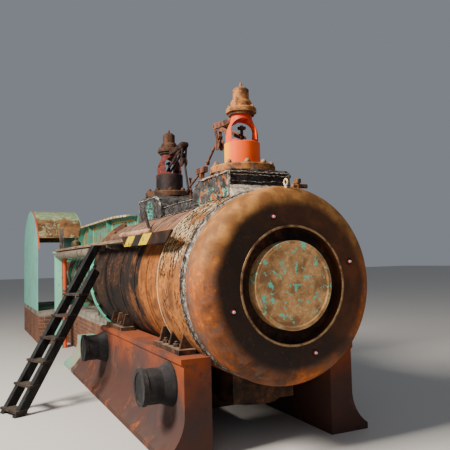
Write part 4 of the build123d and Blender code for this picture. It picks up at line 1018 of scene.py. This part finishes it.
torn("front_chest_hems", chest_edges(1), 0.036, 0.030, cloth_finish, 3)
torn("rear_chest_hems", chest_edges(-1), 0.034, 0.030, cloth_finish, 20)
BRIDGE_X, BRIDGE_Y, BRIDGE_TOP = 0.53, 0.297, AXIS_H + 0.925
bridge_foot = [(-BRIDGE_X, -0.306, 2.312), (0.0, -0.306, 2.314), (0.50, -0.307, 2.314), (0.55, -0.318, 2.40),
               (0.60, -0.335, 2.455), (0.655, -0.340, 2.55), (0.78, -0.340, 2.596)]
torn("bridge_foot_hem", [bridge_foot], 0.030, 0.022, cloth_finish, 52)
torn("bridge_hems", [[(-BRIDGE_X, y, BRIDGE_TOP), (0.0, y, BRIDGE_TOP + 0.004), (BRIDGE_X, y, BRIDGE_TOP)]
                     for y in (-BRIDGE_Y, BRIDGE_Y)], 0.03, 0.018, cloth_finish, 31)

# Apron: old fibre packing that slopes from the front chest's end down on to the cladding, with the frayed
# hems of the chest's lid above it. The fibre is loose, pale and stained brown, and it clings to both.
APRON_HALF_W, APRON_STEPS, APRON_TOP = 0.335, 80, 2.468
APRON_BACK_X, APRON_TOE_X = 1.478, 1.582
LID_HALF_W, LID_STEPS = 0.34, 12
fibre_finish, tree, shader, place = material("old_fibre")
fibre = grain(tree, vectors(tree, "MULTIPLY", place, (46.0, 14.0, 46.0))[0], 1.0, 8, 0.7, 0.6)
fluff = blend(tree, step(tree, fibre, 0.34, 0.6), paint(90, 80, 72), paint(192, 176, 156))
fluff = blend(tree, patches(tree, place, 0.6, 0.74, 5.0, 6), fluff, paint(140, 104, 78))
surface(tree, shader, fluff, 0.96)
bump(tree, shader, fibre, 0.9, 0.006)


def apron_section(y):
    """The packing's outline at one place across the engine, rough where it is in the open."""
    ground = AXIS_H + math.sqrt(FRONT_CLAD_R ** 2 - y * y)
    rise = APRON_TOP - ground
    outline = [(APRON_BACK_X, APRON_TOP), (1.500, APRON_TOP - 0.008), (1.530, ground + rise * 0.55),
               (1.560, ground + rise * 0.25), (APRON_TOE_X, ground + 0.003), (APRON_TOE_X, ground - 0.02),
               (APRON_BACK_X, ground - 0.02)]
    for x, z in outline:
        open_air = z > ground
        out = 0.006 * noise.noise(Vector((x * 30, y * 30, 2))) if open_air else 0
        lift = 0.010 * noise.noise(Vector((x * 40, y * 24, 7))) if open_air else 0
        yield x + out, y, z + lift


apron = bmesh.new()
rows = [[apron.verts.new(spot) for spot in apron_section(APRON_HALF_W * (2 * i / APRON_STEPS - 1))]
        for i in range(APRON_STEPS + 1)]
skin(apron, rows, capped=True)
fixed(piece("front_chest_apron", apron, fibre_finish, smooth=True))
lid_places = [(i, LID_HALF_W * (2 * i / LID_STEPS - 1)) for i in range(LID_STEPS + 1)]
torn("front_chest_lid_hems", [[(1.496, y, 2.588 + 0.004 * (i % 2)) for i, y in lid_places],
                              [(1.498, y, 2.566 - 0.005 * (i % 3)) for i, y in lid_places],
                              [(1.49, -0.344, 2.59), (1.2, -0.344, 2.588), (0.80, -0.344, 2.59)],
                              [(1.494, -0.345, 2.36), (1.494, -0.345, 2.47), (1.494, -0.345, 2.575)]],
     0.024, 0.036, fibre_finish, 60, 0.010)

strip_edges = [[on_hoop(STRIP_X + x, -degrees, r) for degrees in range(0, 361, 3)]
               for x, r in ((0.012, 0.903), (0.05, 0.899), (0.085, 0.896), (0.112, 0.893))]
torn("strip_hems", strip_edges, 0.013, 0.026, cloth_finish, 40, 0.006)

# Valve bonnets: studded flange, plain drum, lantern with arched windows and a dashpot on top. The front
# drum was painted bright orange last; the rear one is black-brown. Flanges and dashpots are bare and ochre.
# The front drum and lantern carry painted sunlight on their sunward side, and the rear bonnet's iron is
# darkened partly as painted shade. The flange studs carry domed cap nuts; the front ones are paler
# than their flange.
CAP_NUT = [(0.030, -0.001), (0.030, 0.017), (0.027, 0.021), (0.023, 0.032), (0.015, 0.040), (0.004, 0.043)]
STUDS, STUD_INSET, STUD_RISE = 10, 0.042, 0.040


def turned_up(name, spots, profile, finish, segments=32):
    """Round fittings, one at each spot, turned about upright lines from (radius, height) points."""
    body = bmesh.new()
    for x, y, z in spots:
        rows = [[body.verts.new((x + r * math.cos(a), y + r * math.sin(a), z + h)) for r, h in profile]
                for a in (2 * math.pi * i / segments for i in range(segments))]
        for first, second in zip(rows, rows[1:] + rows[:1]):
            for j in range(len(first) - 1):
                body.faces.new((first[j], second[j], second[j + 1], first[j + 1]))
        body.faces.new([r[0] for r in rows])
        body.faces.new([r[-1] for r in rows][::-1])
    bmesh.ops.recalc_face_normals(body, faces=body.faces[:])
    fixed(piece(name, body, finish, smooth=True))


ochre = iron_finish("ochre_iron", (84, 54, 34), (164, 104, 52), (212, 144, 78), 12.0, dust=0.2,
                    edge=(224, 172, 112), edge_w=0.006, streak=(120, 98, 84), streak_share=0.35, relief=0.22,
                    depth=0.002)
dress(ochre, "front_bonnet_flange", "front_dashpot")
# The rear flange, dashpot and cap nuts take this ochre darkened partly as painted shade.
rear_ochre = iron_finish("rear_ochre_iron", (44, 30, 24), (80, 53, 36), (120, 80, 52), 9.0, dust=0.2,
                         edge=(120, 84, 58), edge_w=0.005)
dress(rear_ochre, "rear_bonnet_flange", "rear_dashpot")
# The drum and the lantern below are lightened on their sunward side as painted sunlight.
orange = iron_finish("drum_orange", (96, 48, 30), (168, 84, 44), (210, 120, 64), 8.0, coat=(246, 90, 14),
                     loss=0.12, loss_scale=9.0, dust=0.1, edge=(176, 96, 54), edge_w=0.004, coat_rough=0.34,
                     relief=0.2, painted_sunlight=(254, 172, 0))
dress(orange, "front_valve_drum")
red_orange = iron_finish("lantern_red", (66, 32, 24), (124, 58, 36), (176, 90, 52), 9.0, coat=(208, 58, 24),
                         loss=0.34, loss_scale=11.0, dust=0.15, edge=(96, 52, 38), edge_w=0.005,
                         coat_rough=0.5, painted_sunlight=(232, 92, 26))
dress(red_orange, "front_lantern")
dark_red = iron_finish("rear_lantern_red", (44, 26, 24), (92, 42, 34), (136, 62, 48), 10.0,
                       coat=(120, 40, 34), loss=0.6, loss_scale=9.0, dust=0.1, edge=(60, 40, 36))
dress(dark_red, "rear_lantern")
# The rear drum's black-brown is partly its iron and partly painted shade.
black_brown = iron_finish("rear_drum_iron", (24, 18, 18), (46, 33, 31), (74, 49, 42), 6.0, dust=0.15,
                          edge=(96, 70, 58), shine=0.15)
dress(black_brown, "rear_valve_drum")
cap_pale = iron_finish("cap_nuts", (96, 72, 54), (156, 120, 88), (206, 174, 138), 30.0, dust=0.2,
                       edge=(216, 188, 152), edge_w=0.003)
for end, finish in (("front", cap_pale), ("rear", rear_ochre)):
    low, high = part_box(end + "_bonnet_flange")
    centre, pitch = (low + high) / 2, (high.x - low.x) / 2 - STUD_INSET
    studs = [(centre.x + pitch * math.cos(turn), centre.y + pitch * math.sin(turn), high.z - STUD_RISE)
             for turn in (2 * math.pi * (i + 0.5) / STUDS for i in range(STUDS))]
    turned_up(end + "_cap_nuts", studs, CAP_NUT, finish, 16)

# Trip gear: forged levers, brackets and rods that work the valves. The rear set is greasy black iron, the
# front set is browner with rust, and the relief cock behind the casing's crown is dull brass.
greasy = iron_finish("greasy_iron", (20, 16, 16), (44, 31, 28), (92, 60, 44), 12.0, dust=0.1,
                     edge=(104, 78, 62), edge_w=0.004, shine=0.2)
dress(greasy, "rear_lever_bracket", "rear_valve_lever", "rear_drop_rod", "valve_spindles")
brown_gear = iron_finish("brown_gear", (58, 38, 32), (108, 68, 50), (156, 98, 66), 12.0, dust=0.2,
                         edge=(150, 104, 76), edge_w=0.004)
dress(brown_gear, "front_lever_bracket", "front_valve_lever", "front_drop_rod", "trip_stands")
brass = iron_finish("dull_brass", (72, 46, 30), (134, 86, 50), (190, 134, 84), 16.0, dust=0.1,
                    edge=(212, 172, 108), edge_w=0.004, shine=0.25)
dress(brass, "relief_cock")

# Walkway: worn boards on angle brackets, with a sheet-iron edge strip that has old hazard marks, and behind
# it a beam on a painted post. All of it is dusty.
boards, tree, shader, place = material("walkway_boards")
along = vectors(tree, "MULTIPLY", place, (1.3, 16.0, 16.0))[0]
wood = grain(tree, along, 2.0, 9, 0.66, 0.8)
colour = blend(tree, step(tree, wood, 0.34, 0.66), paint(76, 60, 48), paint(150, 126, 102))
colour = blend(tree, patches(tree, place, 0.5, 0.7, 3.0, 8), colour, paint(112, 84, 62))
colour = dusted(tree, colour, 0.7, (186, 166, 142))
surface(tree, shader, colour, 0.9)
bump(tree, shader, wood, 0.7, 0.004)
dress(boards, "walkway_boards")

MARKS_Z, MARK_LEAN, MARK_PITCH, MARKS_END, FASCIA_FACE = 1.911, 1.75, 0.57, 0.85, 0.966
fascia, tree, shader, place = material("fascia_marks")
rust = rusted(tree, 5.0, (26, 16, 10), (46, 28, 18), (72, 46, 30))
parts = parts_of(tree, place)
slant = minus(tree, parts[0], times(tree, minus(tree, parts[2], MARKS_Z), MARK_LEAN))
phase = sums(tree, "FRACT", sums(tree, "DIVIDE", plus(tree, slant, 0.03), MARK_PITCH))
yellow = rest(tree, step(tree, phase, 0.50, 0.52))
reach = times(tree, rest(tree, step(tree, slant, MARKS_END - 0.01, MARKS_END + 0.01)),
              step(tree, slant, -0.032, -0.03))
front = step(tree, times(tree, parts[1], -1.0), FASCIA_FACE - 0.0005, FASCIA_FACE)
marked = times(tree, reach, front)
worn = rest(tree, times(tree, use(tree, LOSS, {"Scale": 22.0, "Loss": 0.35})["Bare"], 0.85))
colour = blend(tree, times(tree, marked, worn), rust["Color"], paint(34, 30, 28))
colour = blend(tree, times(tree, times(tree, marked, yellow), worn), colour, paint(192, 164, 4))
colour = dusted(tree, colour, 0.5, (168, 142, 114))
surface(tree, shader, colour, rust["Roughness"])
bump(tree, shader, rust["Height"], 0.4, 0.003)
dress(fascia, "platform_fascia")

steel = iron_finish("grey_steel", (50, 46, 44), (92, 84, 78), (132, 112, 94), 8.0, dust=0.4,
                    edge=(150, 136, 120))
dress(steel, "rail_stanchion", "walkway_brackets")
dusty_beam = iron_finish("beam_paint", (60, 48, 40), (88, 72, 58), (120, 98, 76), 6.0, coat=(128, 118, 102),
                         loss=0.35, loss_scale=8.0, dust=0.25, dust_tone=(140, 128, 110), relief=0.15)
dress(dusty_beam, "walkway_beam")
post_paint = iron_finish("post_turquoise", (70, 46, 34), (130, 80, 50), (176, 112, 64), 9.0,
                         coat=(140, 214, 186), loss=0.22, loss_scale=13.0, streak=(140, 90, 56),
                         streak_share=0.25, dust=0.4)
dress(post_paint, "end_post")
pipe_paint = iron_finish("pipe_red", (90, 40, 28), (150, 70, 44), (190, 104, 64), 10.0, coat=(226, 88, 48),
                         loss=0.22, loss_scale=16.0, dust=0.1, coat_rough=0.38)
dress(pipe_paint, "red_pipe")

# Small fittings on the walkway side: a strap hook bent up from the cladding, a round timber along the
# platform's inner edge, a domed oiler on the boards, and the pipe's clip and collar.
TIMBER_Y, TIMBER_R, HOOK_R = -0.90, 0.034, 0.018
OILER_SPOT, PIPE_SPOT = (-3.95, -0.80, 2.016), (-5.531, -0.760)
COLLAR_Z, CLIP_Z = 1.78, 1.15
OILER = [(0.076, 0.0), (0.086, 0.008), (0.086, 0.070), (0.078, 0.094), (0.052, 0.118), (0.022, 0.128),
         (0.016, 0.140), (0.024, 0.148), (0.022, 0.160), (0.008, 0.168)]
COLLAR = [(0.047, 0.0), (0.062, 0.004), (0.062, 0.044), (0.047, 0.048)]
CLIP = [(0.0475, 0.0), (0.054, 0.002), (0.054, 0.036), (0.0475, 0.038)]


def bent_bar(name, line, radius, finish):
    """A round bar along points, smooth at its bends."""
    curve = curve_through(name, line, "NURBS")
    curve.bevel_depth, curve.bevel_resolution, curve.use_fill_caps = radius, 3, True
    spline = curve.splines[0]
    spline.use_endpoint_u, spline.order_u, spline.resolution_u = True, 3, 8
    body = bmesh.new()
    take_off(shown(name + "_line", curve), body)
    bmesh.ops.remove_doubles(body, verts=body.verts, dist=1e-5)
    bmesh.ops.recalc_face_normals(body, faces=body.faces[:])
    fixed(piece(name, body, finish, smooth=True))


pole_wood = iron_finish("pole_wood", (112, 82, 64), (166, 126, 100), (200, 160, 130), 9.0, dust=0.4,
                        dust_tone=(204, 176, 150))
bent_bar("platform_round_timber", [(-0.375, TIMBER_Y, 2.056), (0.0, TIMBER_Y, 2.054), (0.4, TIMBER_Y, 2.05),
                                   (0.716, TIMBER_Y, 2.046)], TIMBER_R, pole_wood)
bent_bar("cladding_hook", [(-0.13, -0.60, 2.105), (-0.19, -0.605, 2.13), (-0.25, -0.605, 2.19),
                           (-0.31, -0.60, 2.25), (-0.36, -0.60, 2.31), (-0.40, -0.60, 2.355)],
         HOOK_R, greasy)
oiler_finish = iron_finish("oiler_brass", (48, 42, 28), (82, 70, 44), (118, 98, 62), 14.0, dust=0.3,
                           edge=(160, 136, 92), edge_w=0.004, shine=0.2)
turned_up("walkway_oiler", [OILER_SPOT], OILER, oiler_finish)
turned_up("pipe_collar", [(*PIPE_SPOT, COLLAR_Z)], COLLAR, pipe_paint)
turned_up("pipe_clip", [(*PIPE_SPOT, CLIP_Z)], CLIP, steel)

# Ladder: two heavy near-black stiles with wide worn wooden treads between them. It isn't fixed, and leans
# against the front edge of the walkway.
stile_paint = iron_finish("stile_black", (16, 17, 18), (26, 28, 28), (44, 43, 42), 8.0, dust=0.2,
                          streak=(58, 60, 60), streak_share=0.3, edge=(92, 84, 78), edge_w=0.004,
                          dust_tone=(96, 90, 84), shine=0.15)
dress(stile_paint, "ladder_stiles")
tread_wood = iron_finish("tread_brown", (32, 27, 25), (54, 45, 39), (78, 66, 56), 10.0, dust=0.5,
                         dust_tone=(96, 86, 76), edge=(96, 80, 68))
dress(tread_wood, "ladder_treads")

# Guide trunk and its guard: turquoise casting and a ribbed sheet guard with a cream rim. Each panel between
# two ribs has a thin yellow line painted round it, set in from the edge.
GUARD_TOP, GUARD_DROP = 2.468, 0.054
SLOPE_X, SLOPE_L = -3.0, 1.5
BEND_X, BEND_Z, BEND_R = -5.145, 2.088, 0.38
PANELS = ((-5.44, -4.70), (-4.54, -3.21), (-3.03, -1.62))
LINING_Y, LINING_W, LINING_LOW, LINING_INSET = -0.362, 0.020, 2.06, 0.085
RIM_Y, RIM_W, RIM_INSET, LINE_THICK = -0.482, 0.030, 0.015, 0.0025
# The trunk's turquoise and rust are darkened partly as painted shade.
trunk_paint = iron_finish("trunk_turquoise", (48, 36, 30), (86, 58, 42), (130, 86, 54), 4.0,
                          coat=(76, 142, 120), loss=0.56, loss_scale=6.0, streak=(66, 50, 40),
                          streak_share=0.4, dust=0.3)
dress(trunk_paint, "guide_trunk", "trunk_saddles")
guard_paint = iron_finish("guard_turquoise", (96, 70, 46), (150, 104, 62), (186, 138, 84), 5.0,
                          coat=(76, 146, 128), loss=0.4, loss_scale=8.0, streak=(150, 140, 96),
                          streak_share=0.3, dust=0.35)
dress(guard_paint, "guard_side_near", "guard_side_far")
cream = iron_finish("guard_cream", (110, 78, 50), (168, 124, 78), (196, 150, 98), 5.0, coat=(206, 186, 142),
                    loss=0.4, loss_scale=6.0, dust=0.5)
dress(cream, "guard_cover")


def ribbon(name, line, y, width, finish):
    """A thin painted line on a plate of the guard, along (x, z) points."""
    body = bmesh.new()
    for (x0, z0), (x1, z1) in zip(line, line[1:]):
        along = Vector((x1 - x0, 0, z1 - z0)).normalized() * width / 2
        side = Vector((-along.z, 0, along.x))
        first, last = Vector((x0, y, z0)) - along, Vector((x1, y, z1)) + along
        low = [body.verts.new(c) for c in (first - side, last - side, last + side, first + side)]
        high = [body.verts.new(v.co - Vector((0, LINE_THICK, 0))) for v in low]
        body.faces.new(low)
        body.faces.new(high[::-1])
        for j in range(4):
            k = (j + 1) % 4
            body.faces.new((low[j], high[j], high[k], low[k]))
    bmesh.ops.recalc_face_normals(body, faces=body.faces[:])
    fixed(piece(name, body, finish))


def guard_top(x):
    """Height of the guard's top over its length."""
    if x > SLOPE_X:
        return GUARD_TOP - GUARD_DROP * ((x - SLOPE_X) / SLOPE_L) ** 2
    if x > BEND_X:
        return GUARD_TOP
    return BEND_Z + math.sqrt(BEND_R ** 2 - (x - BEND_X) ** 2)


yellow_line = iron_finish("lining_yellow", (120, 88, 40), (176, 136, 60), (206, 170, 84), 20.0,
                          coat=(226, 196, 84), loss=0.3, loss_scale=30.0, dust=0.0)
for number, (x0, x1) in enumerate(PANELS):
    places = [x0 + (x1 - x0) * i / 16 for i in range(17)]
    over = [(x, guard_top(x) - LINING_INSET) for x in places]
    loop = [(x0, LINING_LOW)] + over + [(x1, LINING_LOW), (x0, LINING_LOW)]
    ribbon(f"guard_lining_{number}", loop, LINING_Y, LINING_W, yellow_line)
rim_r = BEND_R - RIM_INSET
rim_line = [(BEND_X - rim_r * math.cos(a), BEND_Z + rim_r * math.sin(a))
            for a in (math.radians(d) for d in range(0, 90, 6))]
rim_line += [(x / 10, guard_top(x / 10) - RIM_INSET) for x in range(-51, -15, 2)]
ribbon("guard_rim_line", rim_line, RIM_Y, RIM_W, cream)

# Splasher hood: curved sheet over the crank pit between two flat side plates with a red edge line.
# The sheet is tan with rust over old turquoise; the side plates are pale turquoise.
HOOD_MIDDLE, HOOD_R, PALE_FROM_Z = Vector((-7.94, 0, 1.1)), 1.9, 2.70
hood_top, tree, shader, place = material("hood_sheet_paint")
rust = rusted(tree, 2.6, (96, 66, 42), (140, 98, 60), (172, 132, 86))
wavy = times(tree, minus(tree, grain(tree, place, 5.0, 8), 0.5), 0.5)
high_up = step(tree, plus(tree, parts_of(tree, place)[2], wavy), PALE_FROM_Z, PALE_FROM_Z + 0.1)
left_over = rest(tree, use(tree, LOSS, {"Scale": 3.4, "Loss": 0.78})["Bare"])
kept = sums(tree, "MAXIMUM", times(tree, high_up, 0.85), times(tree, left_over, 0.6))
pale = blend(tree, patches(tree, place, 0.4, 0.62, 9.0, 8), paint(138, 160, 120), paint(176, 196, 150))
surface(tree, shader, blend(tree, kept, rust["Color"], pale), rust["Roughness"])
bump(tree, shader, plus(tree, rust["Height"], kept), 0.4, 0.004)
dress(hood_top, "hood_sheet")
hood_side = iron_finish("hood_side_paint", (96, 68, 50), (140, 98, 64), (176, 126, 80), 4.0,
                        coat=(132, 206, 184), loss=0.2, loss_scale=6.0, streak=(132, 110, 84),
                        streak_share=0.2, dust=0.3)
dress(hood_side, "hood_side_near", "hood_side_far")

edge_red = iron_finish("edge_red", (110, 50, 36), (160, 74, 48), (196, 108, 70), 16.0, coat=(206, 92, 66),
                       loss=0.3, loss_scale=20.0, dust=0.1)


def hood_strip(name, from_angle, to_angle, y0, y1, rise, finish):
    """A thin plate or line that lies on the hood's curved sheet."""
    body = bmesh.new()
    section = ((HOOD_R - 0.003, y0), (HOOD_R - 0.003, y1), (HOOD_R + rise, y1), (HOOD_R + rise, y0))
    turns = [math.radians(from_angle + (to_angle - from_angle) * i / 24) for i in range(25)]
    rows = [[body.verts.new(HOOD_MIDDLE + Vector((r * math.cos(turn), y, r * math.sin(turn))))
             for r, y in section] for turn in turns]
    skin(body, rows, capped=True)
    fixed(piece(name, body, finish))


patch_tan = iron_finish("hood_patch_rust", (88, 62, 42), (120, 88, 60), (156, 124, 86), 8.0,
                        coat=(150, 150, 112), loss=0.6, loss_scale=9.0, dust=0.1, edge=(70, 52, 38),
                        edge_w=0.012)
hood_strip("hood_edge_line", 30, 96, -1.178, -1.146, 0.004, edge_red)
hood_strip("hood_patch", 40, 54, -0.985, -0.745, 0.014, patch_tan)

# Floor, light and air of the picture, which are no part of the engine: a plain pale floor, a large soft
# lamp from the near side and a weak one from the front.
FLOOR = 60
floor_mesh = bpy.data.meshes.new("floor")
floor_mesh.from_pydata([(-FLOOR, -FLOOR, 0), (FLOOR, -FLOOR, 0), (FLOOR, FLOOR, 0), (-FLOOR, FLOOR, 0)], [],
                       [(0, 1, 2, 3)])
shown("floor", floor_mesh)
floor_finish, tree, shader, place = material("pale_floor")
shader.inputs["Base Color"].default_value = paint(196, 192, 186)
shader.inputs["Roughness"].default_value = 0.9
floor_mesh.materials.append(floor_finish)


def lamp(name, spot, target, size, power, colour):
    """A soft square light."""
    data = bpy.data.lights.new(name, "AREA")
    data.size, data.energy, data.color = size, power, colour
    made = shown(name, data)
    made.location = spot
    made.rotation_mode = "QUATERNION"
    made.rotation_quaternion = (Vector(target) - Vector(spot)).to_track_quat("-Z", "Y")


lamp("window_light", (1.7, -8.3, 8.0), (0.5, 0.0, 1.8), 2.8, 2900, (1.0, 0.93, 0.84))
lamp("fill_light", (9.0, -4.0, 6.0), (0.0, 0.0, 1.5), 7.0, 80, (0.86, 0.93, 1.0))
air = bpy.data.worlds.new("air")
bpy.context.scene.world = air
air.use_nodes = True
air.node_tree.nodes["Background"].inputs["Color"].default_value = (0.72, 0.78, 0.88, 1)
air.node_tree.nodes["Background"].inputs["Strength"].default_value = 0.29
